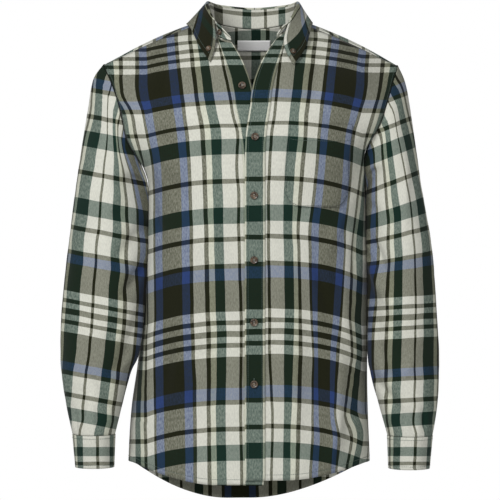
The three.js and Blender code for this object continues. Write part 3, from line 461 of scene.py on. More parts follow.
def yokePoint(across, row):
    side = -1 if across < 0 else 1
    share = abs(across)
    if share < yokeNeckShare:
        top = neckPoint(side, mix(napeStation, yokeStation, share / yokeNeckShare), "seam")
    else:
        top = shoulderSeam(side, (share - yokeNeckShare) / (1 - yokeNeckShare))
    bottom = backPoint(across, rowsOf["skirt"] + rowsOf["backArmhole"])
    bottom.z += cloth["seamGap"]
    span = bottom.y - top.y
    crown = yokeCrown["rate"] * (span - yokeCrown["least"])
    middle = Vector((mix(top.x, bottom.x, yokeCrown["inward"]),
                     mix(top.y, bottom.y, yokeCrown["back"]),
                     mix(top.z, bottom.z, yokeCrown["up"]) + crown))
    return curveThrough(top, middle, bottom, row / rowsOf["yoke"])


# Sleeves and cuffs.

def armholeLoop(side):
    skirt = rowsOf["skirt"]
    last = rowsOf["armhole"] + rowsOf["shoulder"]
    loop = [frontPoint(side, 1, skirt + row, False) for row in range(last + 1)]
    loop += [yokePoint(side, row) for row in range(1, rowsOf["yoke"] + 1)]
    loop += [backPoint(side, skirt + row, False)
             for row in range(rowsOf["backArmhole"] - 1, 0, -1)]
    return loop


@functools.lru_cache(maxsize=None)
def sleeveFrame(side, row):
    read = [readTable(sleeveTables[side], "row", name, row) for name in sleeveColumns.split()[1:]]
    outer, outerZ, inner, innerZ, depth, forward = read
    outer = Vector((side * outer, -forward, outerZ))
    inner = Vector((side * inner, -forward, innerZ))
    reach = (outer - inner) / 2
    down = Vector((side * reach.z, 0, -side * reach.x)).normalized()
    return (outer + inner) / 2, reach, down, depth


def sleeveFoldHeight(side, around, row):
    height = 0
    degrees = math.degrees(around)
    for fold in sleeveFolds:
        if fold["side"] != side:
            continue
        end = 1 - (2 * (row - fold["row"]) / fold["length"]) ** 2
        turn = degrees - fold["around"] - fold["slant"] * (row - fold["row"])
        if end > 0:
            depth = fold["depth"] * (fineSleeveStrength if fold["width"] < fineSleeveWidth else 1)
            height += depth * end * end * math.exp(-((turn / fold["width"]) ** 2))
    return height


def sleevePoint(side, around, row, armhole, fine=True):
    middle, reach, down, depth = sleeveFrame(side, row)
    keep = 1 - easeIn(row / armholeBlendRows)
    along = mix(-math.cos(around), armhole[0], keep)
    deep = mix(math.sin(around), armhole[1], keep)
    spot = middle + reach * along + down * (armhole[2] * keep)
    spot.y -= depth * deep
    away = (spot - middle).normalized()
    lift = sleeveFoldHeight(side, around, row)
    if fine:
        fade = easeIn(row / calm["armholeRows"]) * easeIn((lastSleeveRow - row) / calm["cuffRows"])
        lift += wave(spot, waviness["sleeveSeed"] + side) * fade
        spot.x -= side * readLine(nestle[side], row) * max(0, math.cos(around)) ** nestleFocus
    return spot + away * lift


def armholeParts(side):
    loop = armholeLoop(side)
    middle, reach, down, depth = sleeveFrame(side, 0)
    lengths = lengthsAlong(loop + loop[:1])
    parts = []
    for index, spot in enumerate(loop):
        offset = spot - middle
        parts.append((2 * math.pi * lengths[index] / lengths[-1],
                      offset.dot(reach) / reach.length_squared, -offset.y / depth,
                      offset.dot(down) + cloth["armholeGap"]))
    return parts


def ringBetween(parts, place):
    # a smooth curve through the armhole's parts, place counts them round the ring
    count = len(parts)
    index = int(math.floor(place)) % count
    share = place - math.floor(place)
    picked = [list(parts[(index + step) % count]) for step in (-1, 0, 1, 2)]
    for step, values in zip((-1, 0, 1, 2), picked):
        if index + step < 0:
            values[0] -= 2 * math.pi
        if index + step >= count:
            values[0] += 2 * math.pi
    return [smoothBetween(*values, share) for values in zip(*picked)]


def cuffPoint(side, around, share, lift):
    middle, reach, down, depth = sleeveFrame(side, lastSleeveRow)
    narrow = cuff["grow"] - cuff["narrow"] * share + lift
    half = reach.length + narrow
    spot = middle + reach * (-math.cos(around) * half / reach.length)
    spot.y -= (depth + narrow) * math.sin(around)
    spot.z -= cuff["drop"] + cuff["length"] * share
    spot.x -= side * cuff["shift"] * share
    return spot


# Collar and bands.

def columnShare(column, neckColumns, neckPart):
    if column <= neckColumns:
        return neckPart * column / neckColumns
    return mix(neckPart, 1, (column - neckColumns) / columnsOf["shoulder"])


frontRows = rowsOf["skirt"] + rowsOf["armhole"] + rowsOf["shoulder"]
backRows = rowsOf["skirt"] + rowsOf["backArmhole"]
frontColumns = columnsOf["frontNeck"] + columnsOf["shoulder"]
halfBack = columnsOf["nape"] + columnsOf["shoulder"]
standHalf = columnsOf["nape"] + columnsOf["frontNeck"]


def backAcross(column):
    fromMiddle = column - halfBack
    return math.copysign(columnShare(abs(fromMiddle), columnsOf["nape"], yokeNeckShare), fromMiddle)


def sharesAlong(side, row, distances):
    # the shares across a front that lie these distances from its opening edge
    steps, reach = 60, 0.4
    walked = 0
    spot = frontPoint(side, 0, row, False)
    found = []
    wanted = list(distances)
    for step in range(1, steps + 1):
        following = frontPoint(side, reach * step / steps, row, False)
        length = (following - spot).length
        while wanted and walked + length >= wanted[0]:
            found.append(reach * (step - 1 + (wanted[0] - walked) / length) / steps)
            wanted.pop(0)
        walked += length
        spot = following
    return found


def bandGrid(side, rows, columns):
    grid = []
    for line in range(rows + 1):
        row = min(frontRows * line / rows, frontRows - placket["drop"])
        distances = [placket["width"] * column / columns for column in range(columns + 1)]
        shares = sharesAlong(side, row, distances)
        grid.append([frontPoint(side, share, row, False) for share in shares])
    return turnedOut(grid, side, placket["stand"] + cloth["trim"] + cloth["layerGap"])


def standSpot(row, column):
    side = -1 if column < standHalf else 1
    fromNape = abs(column - standHalf)
    if fromNape <= columnsOf["nape"]:
        station = mix(napeStation, yokeStation, fromNape / columnsOf["nape"])
    else:
        station = mix(yokeStation, 0, (fromNape - columnsOf["nape"]) / columnsOf["frontNeck"])
    seam = neckPoint(side, station, "seam")
    seam.z += standRise
    return seam.lerp(neckPoint(side, station, "top"), row)


# the share of the front at which an x lies is found by halving
pocketSearch = {"from": 0.05, "to": 1.0, "halvings": 18}


def pocketSpot(up, across):
    width = pocket["outerX"] - pocket["innerX"]
    fromSide = min(across, 1 - across) * width
    inCorner = max(0, pocket["corner"] - fromSide)
    rise = pocket["corner"] - math.sqrt(pocket["corner"] ** 2 - inCorner ** 2)
    z = mix(pocket["bottomZ"] + rise, pocket["topZ"], up)
    lean = pocket["lean"] * easeIn(1 - (pocket["topZ"] - z) / pocket["leanHeight"])
    x = pocket["innerX"] + width * across + lean
    low, high = pocketSearch["from"], pocketSearch["to"]
    for step in range(pocketSearch["halvings"]):
        middle = (low + high) / 2
        if frontBelowChest(1, middle, z, False).x < x:
            low = middle
        else:
            high = middle
    return frontBelowChest(1, low, z)


# the cloth that the collar falls on, by its spots and their normals
underLimit = 40000
underCollar = kdtree.KDTree(underLimit)
underNormals = []


def addUnder(grid, facing):
    for row, line in enumerate(grid):
        for column, spot in enumerate(line):
            underCollar.insert(spot, len(underNormals))
            underNormals.append(normalAt(grid, row, column) * facing)


def collarSpot(row, across):
    side = -1 if across < 0 else 1
    station = mix(napeStation, collarEndStation, abs(across))
    edge = Vector([readTable(collarEdges[side], "station", key, station) for key in "xyz"])
    edge.x *= side
    top = neckPoint(side, station, "top")
    away = Vector((edge.x - top.x, edge.y - top.y, 0)).normalized()
    if row < 2:
        top.z += leaf["rise"] if row == 0 else leaf["overRise"]
        return top + away * (leaf["inward"] if row == 0 else leaf["over"])
    top += away * leaf["outward"]
    middle = top.lerp(edge, leaf["middle"]) - away * leaf["tuck"]
    fallen = (row - 2) / leaf["fallRows"]
    spot = curveThrough(top, middle, edge, fallen)
    nearEnd = max(0, 1 - (station - collarEndStation) / leaf["reach"]) ** 2
    rolled = nearEnd * math.sin(math.pi * fallen ** leaf["lowness"])
    spot.x -= side * leaf["bulge"][side] * rolled
    spot.y -= leaf["forward"] * rolled
    nearest, index, distance = underCollar.find(spot)
    height = (spot - nearest).dot(underNormals[index])
    if height < leaf["clearance"]:
        spot += underNormals[index] * (leaf["clearance"] - height)
    return spot


def smoothRows(grid, steps):
    # a smooth curve through each column of a grid
    last = len(grid) - 1
    result = []
    for place in range(last * steps + 1):
        index = min(last - 1, place // steps)
        share = place / steps - index
        a, b, c, d = (grid[min(last, max(0, index + step))] for step in (-1, 0, 1, 2))
        result.append([smoothBetween(*spots, share) for spots in zip(a, b, c, d)])
    return result


# One pixel of the chart is 1.566 mm of cloth. The warp's and the weft's charts run from a middle
# line to a far line and back again.
chartStep = 1.566
warpHalf = 65.75
weftHalf = 153
sight = {"middle": 254, "level": 250, "z": -356.4, "scale": 1.62, "distance": 4000}

shades = {
    "white": (0.815, 0.815, 0.77), "cream": (0.775, 0.785, 0.70), "green": (0.085, 0.175, 0.145),
    "olive": (0.125, 0.13, 0.068), "blue": (0.18, 0.25, 0.43), "whiteWeft": (0.83, 0.83, 0.785),
}
warpChart = [(0, "olive"), (1.5, "white"), (15.5, "green"), (25.5, "cream"), (31, "olive"),
             (35, "white"), (45.5, "olive"), (49, "blue"), (56, "olive")]
weftChart = [(0, "olive"), (2.2, "whiteWeft"), (26, "green"), (42, "whiteWeft"), (55, "olive"),
             (60, "whiteWeft"), (82, "olive"), (87, "blue"), (99, "olive"), (130, "whiteWeft"),
             (139, "olive"), (143.5, "whiteWeft"), (150, "olive")]
placketChart = [(0, "cream"), (1.4, "green"), (18, "cream"), (24, "green")]
collarChart = [(0, "cream"), (2.5, "olive"), (3.8, "white"), (16.5, "green"), (22, "olive"),
               (30, "cream"), (31.2, "olive"), (38, "green"), (44, "olive")]
standChart = [(0, "olive"), (1.5, "white"), (15.5, "green"), (25.5, "white"), (50, "olive")]

# How far out the warp's lines stand on each front, in pixels, by height
warpLines = (0, 25.5, 45.5, 65.75, 82.5, 96.5)
lineColumns = "y at0 at1 at2 at3 at4 at5"
frontLines = {
    -1: table(lineColumns, [
        (40, 35, 57, 76, 98, 116, 133), (62, 31.5, 54, 74, 96.5, 115, 131.5),
        (95, 24.5, 50, 70, 94, 114.5, 130), (113, 21.5, 47, 68, 90.5, 110, 121),
        (134, 16.5, 43, 65, 88, 106, 117), (165, 17.5, 42, 63, 84, 100.5, 110),
        (195, 15.5, 41, 62, 82.5, 99, 107), (230, 15.5, 40, 61, 82.5, 99, 107),
        (316, 13, 38, 60, 82, 98, 106), (340, 13, 37, 59, 81, 99, 107),
        (415, 13.5, 38, 57, 80, 98, 107), (470, 12.5, 37, 57, 79, 97, 106),
    ]),
    1: table(lineColumns, [
        (40, 29, 54, 74, 96, 114, 130), (62, 26, 51, 71, 93, 111, 127),
        (95, 22.5, 47, 67, 90, 109, 123), (113, 20.5, 45, 65, 86.5, 104, 118),
        (134, 17.5, 44, 63, 83.5, 98, 112), (165, 15.5, 41, 61, 80, 96, 107),
        (195, 14.5, 39, 58, 78, 94, 103), (230, 14.5, 38, 54, 74, 90, 99),
        (250, 14.5, 39, 54, 73.5, 90, 97), (316, 15.5, 40, 56, 70, 86, 95),
        (352, 15.5, 39, 58, 69, 82, 97), (415, 18.5, 37, 57, 71, 80, 90),
        (438, 18.5, 36, 57, 73, 83, 96), (470, 17.5, 36, 55, 72, 81, 91),
    ]),
}
frontWeft = [(33, -176), (38.7, -167), (41.9, -162.5), (47.8, -156), (51.4, -150),
             (56.4, -143.5), (60, -139), (65, -130), (92, -99), (100, -87), (105, -82),
             (124, -60), (128, -55), (139, -42), (154, -26.5), (181, 0), (334, 153), (487, 306)]
weftRise = {-1: 0, 1: 3}
droop = {-1: [(60, 0.7), (124, 0.75), (181, 1), (326, 1.05), (444, 0.92)],
         1: [(60, 0.75), (124, 0.9), (181, 1.2), (326, 1.3), (444, 1.3)]}
sleeveWeft = [(50, -132), (79, -99), (89, -87), (94, -82), (116, -60), (121, -55), (133, -42),
              (149, -26), (175, 0), (201, 26), (217, 42), (229, 55), (234, 60), (254, 82),
              (259, 87), (268, 99), (296, 130), (304, 139), (308, 143.5), (314, 150), (320, 156),
              (326, 162.5), (330, 167), (338, 176), (368, 207), (376, 219), (381, 224),
              (398, 246), (403, 251), (413, 264), (426, 280), (450, 308)]
sleeveMiddleLine = {
    -1: [(60, 108.5), (105, 108), (128, 107.5), (160, 105.5), (185, 102), (240, 98),
         (262, 94.5), (299, 93.5), (322, 91.5), (335, 90.5), (388, 84.5), (430, 81)],
    1: [(60, 383), (105, 391), (128, 397), (152, 400.5), (165, 403.5), (185, 407), (205, 411),
        (262, 415.5), (335, 415.5), (388, 415), (430, 414)],
}
sleeveTilt = {-1: [(0, 0.19), (500, 0.19)],
              1: [(0, -0.39), (190, -0.39), (300, -0.06), (500, -0.06)]}
sleeveTiltAt = {-1: 98, 1: 412}
cuffWeft = [(431, 10), (447, 26), (456, 42), (461, 55), (465, 60), (470, 66)]
cuffMiddleLine = {-1: 98, 1: 415}
cuffFrontY = -54
droopRange = (60, 460)
droopRate = 1.067e-5
droopReach = 108
# depth counts for less past the last measured line, where the cloth turns away at the side
sideDepthShare = 0.8
placketRise = 2
backCheck = {"middle": 51, "level": 33, "z": -510}
yokeCheck = {"middle": 18.6, "start": 97}
standCheck = {"middle": 12.8, "top": 16, "run": 21}
collarCheck = {"foldRow": 8, "run": 26, "rightStart": 30, "end": 134.5}


def seenAt(spot):
    scale = sight["scale"] * (sight["distance"] + spot.y) / sight["distance"]
    return (sight["middle"] + spot.x / scale, sight["level"] + (sight["z"] - spot.z) / scale)


def frontPlaces(side, grid):
    places = []
    for line in grid:
        placeLine = []
        u, previous = None, None
        for spot in line:
            px, py = seenAt(spot)
            out = side * (px - sight["middle"])
            stations = [readTable(frontLines[side], "y", "at%d" % index, py)
                        for index in range(len(warpLines))]
            if out <= stations[-1] and (previous is None or u <= warpLines[-1]):
                if out <= stations[0]:
                    u = out - stations[0]
                else:
                    u = readLine(list(zip(stations, warpLines)), out)
            else:
                step = math.hypot(spot.x - previous.x, (spot.y - previous.y) * sideDepthShare)
                u = max(u, warpLines[-2]) + step / chartStep
            level = min(droopRange[1], max(droopRange[0], py))
            sunk = droopRate * readLine(droop[side], level) * min(droopReach, max(0, out)) ** 3
            v = readLine(frontWeft, py + weftRise[side] - sunk)
            placeLine.append((u, v))
            previous = spot
        places.append(placeLine)
    return places


def arcPlaces(grid, uStart, vOf):
    # the warp by length along each row, from the middle column
    places = []
    for line in grid:
        lengths = lengthsAlong(line)
        middle = lengths[len(line) // 2]
        places.append([(uStart + (length - middle) / chartStep, vOf(spot))
                       for length, spot in zip(lengths, line)])
    return places


# The sleeve lies nearly flat, so depth counts for less. Then the chart's place, in pixels,
# by the distance out from the middle line.
sleeveFlatness = 0.6
sleeveSpread = {-1: [(-300, -300), (0, 0), (13.5, 15.5), (31, 25.2), (50, 44), (350, 344)],
                1: [(-300, -280), (-32, -35), (0, 0), (8.5, 15.5), (22, 25.2), (40, 43), (350, 353)]}


sleeveWindow = 6


def sleeveWeftAt(side, spot):
    px, py = seenAt(spot)
    return readLine(sleeveWeft, py - readLine(sleeveTilt[side], py) * (px - sleeveTiltAt[side]))


def sleevePlaces(side, grid):
    # the ring is followed from the inner side by way of the front
    allLengths, zeros = [], []
    for line in grid:
        lengths = lengthsAlong(line, sleeveFlatness)
        allLengths.append(lengths)
        half = range(len(line) // 2 + 1)
        seen = [seenAt(line[index]) for index in half]
        miss = [side * (readLine(sleeveMiddleLine[side], py) - px) for px, py in seen]
        nearest = min(half, key=lambda index: abs(miss[index]))
        zeros.append(lengths[nearest] + miss[nearest] * sight["scale"])
    smoothed = []
    for row in range(len(zeros)):
        window = zeros[max(0, row - sleeveWindow):row + sleeveWindow + 1]
        smoothed.append(sum(window) / len(window))
    return [[(readLine(sleeveSpread[side], (length - zero) / chartStep), sleeveWeftAt(side, spot))
             for length, spot in zip(lengths, line)]
            for lengths, zero, line in zip(allLengths, smoothed, grid)]


# Materials.

class Socket:
    # a node's output that takes part in sums
    def __init__(self, tree, output):
        self.tree = tree
        self.output = output

    def math(self, operation, first, second=None):
        node = self.tree.nodes.new("ShaderNodeMath")
        node.operation = operation
        for place, value in enumerate((first, second)):
            if isinstance(value, Socket):
                self.tree.links.new(value.output, node.inputs[place])
            elif value is not None:
                node.inputs[place].default_value = value
        return Socket(self.tree, node.outputs[0])

    def __add__(self, other):
        return self.math("ADD", self, other)

    def __radd__(self, other):
        return self.math("ADD", other, self)

    def __sub__(self, other):
        return self.math("SUBTRACT", self, other)

    def __rsub__(self, other):
        return self.math("SUBTRACT", other, self)

    def __mul__(self, other):
        return self.math("MULTIPLY", self, other)

    def __rmul__(self, other):
        return self.math("MULTIPLY", other, self)

    def __truediv__(self, other):
        return self.math("DIVIDE", self, other)


class Finish:
    # a material with one Principled shader, and short ways to add its nodes
    def __init__(self, name, noiseSettings=None):
        self.noiseSettings = noiseSettings
        self.material = bpy.data.materials.new(name)
        self.material.use_nodes = True
        self.tree = self.material.node_tree
        self.shader = self.tree.nodes["Principled BSDF"]

    def node(self, kind, settings=None, **sockets):
        node = self.tree.nodes.new(kind)
        for key, value in (settings or {}).items():
            if key == "stops":
                ramp = node.color_ramp
                ramp.interpolation = "CONSTANT"
                while len(ramp.elements) < len(value):
                    ramp.elements.new(1)
                for element, (place, colour) in zip(ramp.elements, value):
                    element.position = place
                    element.color = (*colour, 1)
            else:
                setattr(node, key, value)
        for key, value in sockets.items():
            self.join(value, node.inputs[int(key[1:])] if key[0] == "i" and key[1:].isdigit()
                      else node.inputs[key.replace("_", " ")])
        return node

    def out(self, node, place=0):
        return Socket(self.tree, node.outputs[place])

    def noise(self, place, scale, detail, **sockets):
        node = self.node("ShaderNodeTexNoise", self.noiseSettings, Vector=place, Scale=scale,
                         Detail=detail, **sockets)
        return self.out(node)

    def objectPlace(self):
        return self.out(self.node("ShaderNodeTexCoord"), 3)

    def join(self, value, target):
        if isinstance(value, Socket):
            self.tree.links.new(value.output, target)
        else:
            target.default_value = value

    def blend(self, factor, first, second, mode="MIX"):
        node = self.node("ShaderNodeMix", {"data_type": "RGBA", "blend_type": mode})
        self.join(factor, node.inputs[0])
        self.join(first, node.inputs[6])
        self.join(second, node.inputs[7])
        return self.out(node, 2)

    def set(self, **sockets):
        for key, value in sockets.items():
            self.join(value, self.shader.inputs[key.replace("_", " ")])
        return self


weave = {"weft": 0.45, "pitch": 1.9, "twill": 0.07, "nap": 0.075, "napScale": 560.0, "drawn": 0.35,
         "wearScale": 26.0, "wear": 0.04, "driftScale": 24.0, "drift": 0.0016,
         "roughness": 0.93, "sheen": 0.06, "bump": 0.25}


def flannelFinish(name, warp, warpLength):
    finish = Finish(name, {"noise_dimensions": "2D"})
    uv = finish.out(finish.node("ShaderNodeUVMap", {"uv_map": "cloth"}))
    parts = finish.node("ShaderNodeSeparateXYZ", i0=uv)
    across, along = finish.out(parts, 0), finish.out(parts, 1)
    drift = (finish.noise(uv, weave["driftScale"], 1.0) - 0.5) * weave["drift"]

    def threads(place, chart, half):
        reach = half * chartStep * mm
        folded = place.math("PINGPONG", place + drift, reach)
        stops = [(start / half, shades[name]) for start, name in chart]
        return finish.out(finish.node("ShaderNodeValToRGB", {"stops": stops}, i0=folded / reach))

    rib = across.math("SINE", (across + along) * (2 * math.pi / (weave["pitch"] * mm)))
    drawn = finish.out(finish.node("ShaderNodeCombineXYZ", i0=across, i1=along * weave["drawn"]))
    nap = finish.noise(drawn, weave["napScale"], 2.0)
    wear = finish.noise(uv, weave["wearScale"], 3.0)
    share = weave["weft"] + rib * weave["twill"] + (nap - 0.5) * (weave["nap"] * 5)
    mixed = finish.blend(share, threads(across, warp, warpLength),
                         threads(along, weftChart, weftHalf))
    light = 1.0 + (nap - 0.5) * (weave["nap"] * 2) + (wear - 0.5) * (weave["wear"] * 2)
    shaded = finish.node("ShaderNodeVectorMath", {"operation": "SCALE"}, i0=mixed, Scale=light)
    colour = finish.node("ShaderNodeGamma", None, Color=finish.out(shaded), Gamma=2.2)
    bump = finish.node("ShaderNodeBump", None, Height=rib * 0.4 + nap, Strength=weave["bump"],
                       Distance=0.0004)
    finish.set(Base_Color=finish.out(colour), Roughness=weave["roughness"],
               Normal=finish.out(bump), Sheen_Weight=weave["sheen"], Sheen_Roughness=0.5,
               Specular_IOR_Level=0.2)
    return finish.material


flannel = flannelFinish("flannel_check", warpChart, warpHalf)
flannelPlacket = flannelFinish("flannel_placket", placketChart, 26)
flannelCollar = flannelFinish("flannel_collar", collarChart, 60)
flannelStand = flannelFinish("flannel_stand", standChart, 60)


def buttonFinish():
    finish = Finish("mottled_horn")
    cloud = finish.noise(finish.objectPlace(), 260.0, 4.0, Distortion=0.8)
    ramp = finish.node("ShaderNodeValToRGB", None, i0=cloud)
    ramp.color_ramp.elements[0].position = 0.4
    ramp.color_ramp.elements[0].color = (0.018, 0.011, 0.007, 1)
    ramp.color_ramp.elements[1].position = 0.68
    ramp.color_ramp.elements[1].color = (0.17, 0.11, 0.062, 1)
    finish.set(Base_Color=finish.out(ramp), Roughness=0.3 + cloud * 0.2, Coat_Weight=0.2)
    return finish.material


def threadFinish(name, colour, depth, roughness=0.8, scale=1500.0):
    finish = Finish(name)
    grain = finish.noise(finish.objectPlace(), scale, 3.0)
    dark = tuple(part * (1 - depth) for part in colour)
    tint = finish.blend(grain, (*dark, 1), (*colour, 1))
    bump = finish.node("ShaderNodeBump", None, Height=grain, Strength=0.3, Distance=0.0003)
    finish.set(Base_Color=tint, Roughness=roughness, Normal=finish.out(bump))
    return finish.material


def labelFinish():
    finish = Finish("label_satin")
    place = finish.objectPlace()
    upright = finish.out(finish.node("ShaderNodeSeparateXYZ", i0=place), 2)
    rib = upright.math("SINE", upright * (2 * math.pi / 0.0009))
    bump = finish.node("ShaderNodeBump", None, Height=rib, Strength=0.2, Distance=0.0002)
    grain = finish.noise(place, 900.0, 2.0)
    tint = finish.blend(grain, (0.92, 0.92, 0.91, 1), (0.97, 0.97, 0.96, 1))
    finish.set(Base_Color=tint, Roughness=0.45, Normal=finish.out(bump))
    return finish.material


horn = buttonFinish()
thread = threadFinish("thread_green", (0.09, 0.13, 0.11), 0.3)
# near-black thread, darker than the real green thread, used for the pocket's outline stitches so that
# they paint the thin shadow line along the pocket's edge
pocketShadowThread = threadFinish("thread_dark_painted_shadow", (0.035, 0.045, 0.04), 0.3)
paleThread = threadFinish("thread_cream", (0.62, 0.6, 0.52), 0.25)
satin = labelFinish()
print("materials made")


# Making pieces.

def meshFrom(shape, name):
    mesh = bpy.data.meshes.new(name)
    shape.to_mesh(mesh)
    shape.free()
    return mesh


def placeObject(name, data):
    placed = bpy.data.objects.new(name, data)
    bpy.context.scene.collection.objects.link(placed)
    return placed


def finishPiece(name, mesh, material, nodes=()):
    piece = placeObject(name, mesh)
    mesh.materials.append(material)
    for polygon in mesh.polygons:
        polygon.use_smooth = True
    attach(piece, "root")
    if nodes:
        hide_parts(*nodes)
    return piece


def flatSize(grid):
    # the cut of a grid laid flat: its widest row, its longest column and its area, in metres
    rows, columns = range(len(grid) - 1), range(len(grid[0]) - 1)
    wide = max(sum((line[at + 1] - line[at]).length for at in columns) for line in grid)
    long = max(sum((grid[row + 1][at] - grid[row][at]).length for row in rows)
               for at in range(len(grid[0])))
    area = 0
    for row in rows:
        for at in columns:
            below, above = grid[row], grid[row + 1]
            area += (below[at + 1] - below[at]).cross(above[at] - below[at]).length / 2
            area += (above[at] - above[at + 1]).cross(below[at + 1] - above[at + 1]).length / 2
    return (wide * mm, long * mm), area * mm * mm


def bodyMiddle(centre):
    return Vector((0, 0, centre.z))


def clothPiece(name, grid, places, thickness, node, insideOf=bodyMiddle,
               material=flannel, ring=False):
    rows, columns = len(grid) - 1, len(grid[0]) - 1
    shape = bmesh.new()
    bmesh.ops.create_grid(shape, x_segments=columns, y_segments=rows, size=0.5)
    layer = shape.loops.layers.uv.new("cloth")
    spots = {}
    for vertex in shape.verts:
        column = int(math.floor((vertex.co.x + 0.5) * columns + 0.5))
        row = int(math.floor((vertex.co.y + 0.5) * rows + 0.5))
        spots[vertex] = (row, column)
    for face in shape.faces:
        for loop in face.loops:
            row, column = spots[loop.vert]
            u, v = places[row][column]
            loop[layer].uv = (u * chartStep * mm, v * chartStep * mm)
    for vertex, (row, column) in spots.items():
        vertex.co = grid[row][column] * mm
    if ring:
        bmesh.ops.remove_doubles(shape, verts=shape.verts, dist=0.00001)
    shape.normal_update()
    outward = 0
    for face in shape.faces:
        centre = face.calc_center_median()
        outward += (centre - insideOf(centre)).dot(face.normal) * face.calc_area()
    if outward < 0:
        bmesh.ops.reverse_faces(shape, faces=shape.faces)
    piece = finishPiece(name, meshFrom(shape, name), material, [node])
    wall = piece.modifiers.new("wall", "SOLIDIFY")
    wall.thickness = thickness * mm
    wall.offset = -1
    wall.use_even_offset = False
    flat, area = flatSize(grid)
    return piece


def sleeveMiddle(side):
    def inside(centre):
        z = centre.z / mm
        rows = sleeveTables[side]
        best = min(range(lastSleeveRow + 1),
                   key=lambda row: abs((rows[row]["outerZ"] + rows[row]["innerZ"]) / 2 - z))
        return sleeveFrame(side, best)[0] * mm
    return inside


sideNames = {-1: "right", 1: "left"}


def makeFront(side):
    def place(up, out):
        share = columnShare(out * frontColumns, columnsOf["frontNeck"], neckShare)
        return frontPoint(side, share, up * frontRows)

    grid = gridOf(132, 66, place)
    clothPiece("cloth_front_" + sideNames[side], grid, frontPlaces(side, grid), cloth["body"],
               "front_" + sideNames[side])
    return grid


frontGrids = {side: makeFront(side) for side in sideNames}
print("fronts made")

backGrid = gridOf(120, 130, lambda up, out: backPoint(backAcross(out * 2 * halfBack), up * backRows))
backPlaces = arcPlaces(backGrid, -backCheck["middle"],
                       lambda spot: backCheck["level"] - (spot.z - backCheck["z"]) / chartStep)
clothPiece("cloth_back", backGrid, [[(-u, v) for u, v in line] for line in backPlaces],
           cloth["body"], "back")


def yokePlaces(grid):
    places = []
    walked = [0] * len(grid[0])
    previous = grid[0]
    for line in grid:
        walked = [length + (spot - old).length for length, spot, old in zip(walked, line, previous)]
        previous = line
        places.append([(spot.x / chartStep + yokeCheck["middle"],
                        yokeCheck["start"] - length / chartStep)
                       for length, spot in zip(walked, line)])
    return places


yokeGrid = gridOf(40, 130, lambda up, out: yokePoint(backAcross(out * 2 * halfBack),
                                                     (1 - up) * rowsOf["yoke"]))
clothPiece("cloth_yoke", yokeGrid, yokePlaces(yokeGrid), cloth["body"], "yoke",
           lambda centre: Vector((0, 0.02, -0.2)))
print("back and yoke made")


def bandPlaces(side, grid):
    rise = placketRise if side > 0 else 0
    last = len(grid[0]) - 1
    return [[(placket["width"] * column / last / chartStep,
              readLine(frontWeft, seenAt(spot)[1] + rise)) for column, spot in enumerate(line)]
            for line in grid]


bandGrids = {side: bandGrid(side, 132, 8) for side in sideNames}
for side, node in ((1, "placket"), (-1, "button_band")):
    clothPiece("cloth_" + node, bandGrids[side], bandPlaces(side, bandGrids[side]), cloth["trim"],
               node, material=flannelPlacket)

pocketGrid = turnedOut(gridOf(40, 32, pocketSpot), 1,
                       pocket["stand"] + cloth["trim"] + cloth["layerGap"])
clothPiece("cloth_pocket", pocketGrid, frontPlaces(1, pocketGrid), cloth["trim"], "pocket")
print("bands and pocket made")


def standPlaces(grid):
    places = arcPlaces(grid, 0, lambda spot: 0)
    return [[(standCheck["middle"] - u, standCheck["top"] - standCheck["run"] * row / (len(grid) - 1))
             for u, v in line] for row, line in enumerate(places)]


standGrid = gridOf(12, 90, lambda up, out: standSpot(up, out * 2 * standHalf))
clothPiece("cloth_collar_stand", standGrid, standPlaces(standGrid), cloth["folded"],
           "collar_stand", material=flannelStand)

addUnder(yokeGrid, -1)
for grids in (bandGrids, frontGrids):
    for side in sideNames:
        addUnder(grids[side], side)
underCollar.balance()
collarGrid = smoothRows([[collarSpot(row, out / 48 - 1) for out in range(97)]
                         for row in range(7)], 5)


def collarPlaces(grid):
    # the stripes run along the collar, its two ends are cut from other lines of the check
    result = []
    foldRow = collarCheck["foldRow"]
    for row, line in enumerate(arcPlaces(grid, 0, lambda spot: 0)):
        level = collarCheck["run"] * max(0, (row - foldRow) / (len(grid) - 1 - foldRow))
        ends = (line[0][0], line[-1][0])
        placeLine = []
        for u, v in line:
            fromEnd = ends[1] - u if u > 0 else u - ends[0]
            placeLine.append((level if u > 0 else collarCheck["rightStart"] + level,
                              collarCheck["end"] - fromEnd))
        result.append(placeLine)
    return result


clothPiece("cloth_collar", collarGrid, collarPlaces(collarGrid), cloth["folded"], "collar",
           material=flannelCollar)
print("collar made")


def makeSleeve(side):
    parts = armholeParts(side)

    def place(up, out):
        around, along, deep, drop = ringBetween(parts, out * len(parts) % len(parts))
        return sleevePoint(side, around, up * lastSleeveRow, (along, deep, drop))

    grid = gridOf(120, 84, place)
    clothPiece("cloth_sleeve_" + sideNames[side], grid, sleevePlaces(side, grid), cloth["body"],
               "sleeve_" + sideNames[side], sleeveMiddle(side), ring=True)


def makeCuff(side):
    def place(up, out):
        past = cuff["overlap"] * out - 360 * (1 - out)
        lift = cuff["lift"] * easeIn(1 + past / cuff["liftRun"])
        return cuffPoint(side, math.radians(cuff["lapStart"] + past + 360), up, lift)

    grid = gridOf(16, 96, place)
    places = []
    for line in grid:
        lengths = lengthsAlong(line)
        front = [index for index, spot in enumerate(line) if spot.y < cuffFrontY]
        zero = min(front, key=lambda index: abs(seenAt(line[index])[0] - cuffMiddleLine[side]))
        places.append([((length - lengths[zero]) / chartStep, readLine(cuffWeft, seenAt(spot)[1]))
                       for length, spot in zip(lengths, line)])
    clothPiece("cloth_cuff_" + sideNames[side], grid, places, cloth["folded"],
               "cuff_" + sideNames[side], sleeveMiddle(side))
    return grid


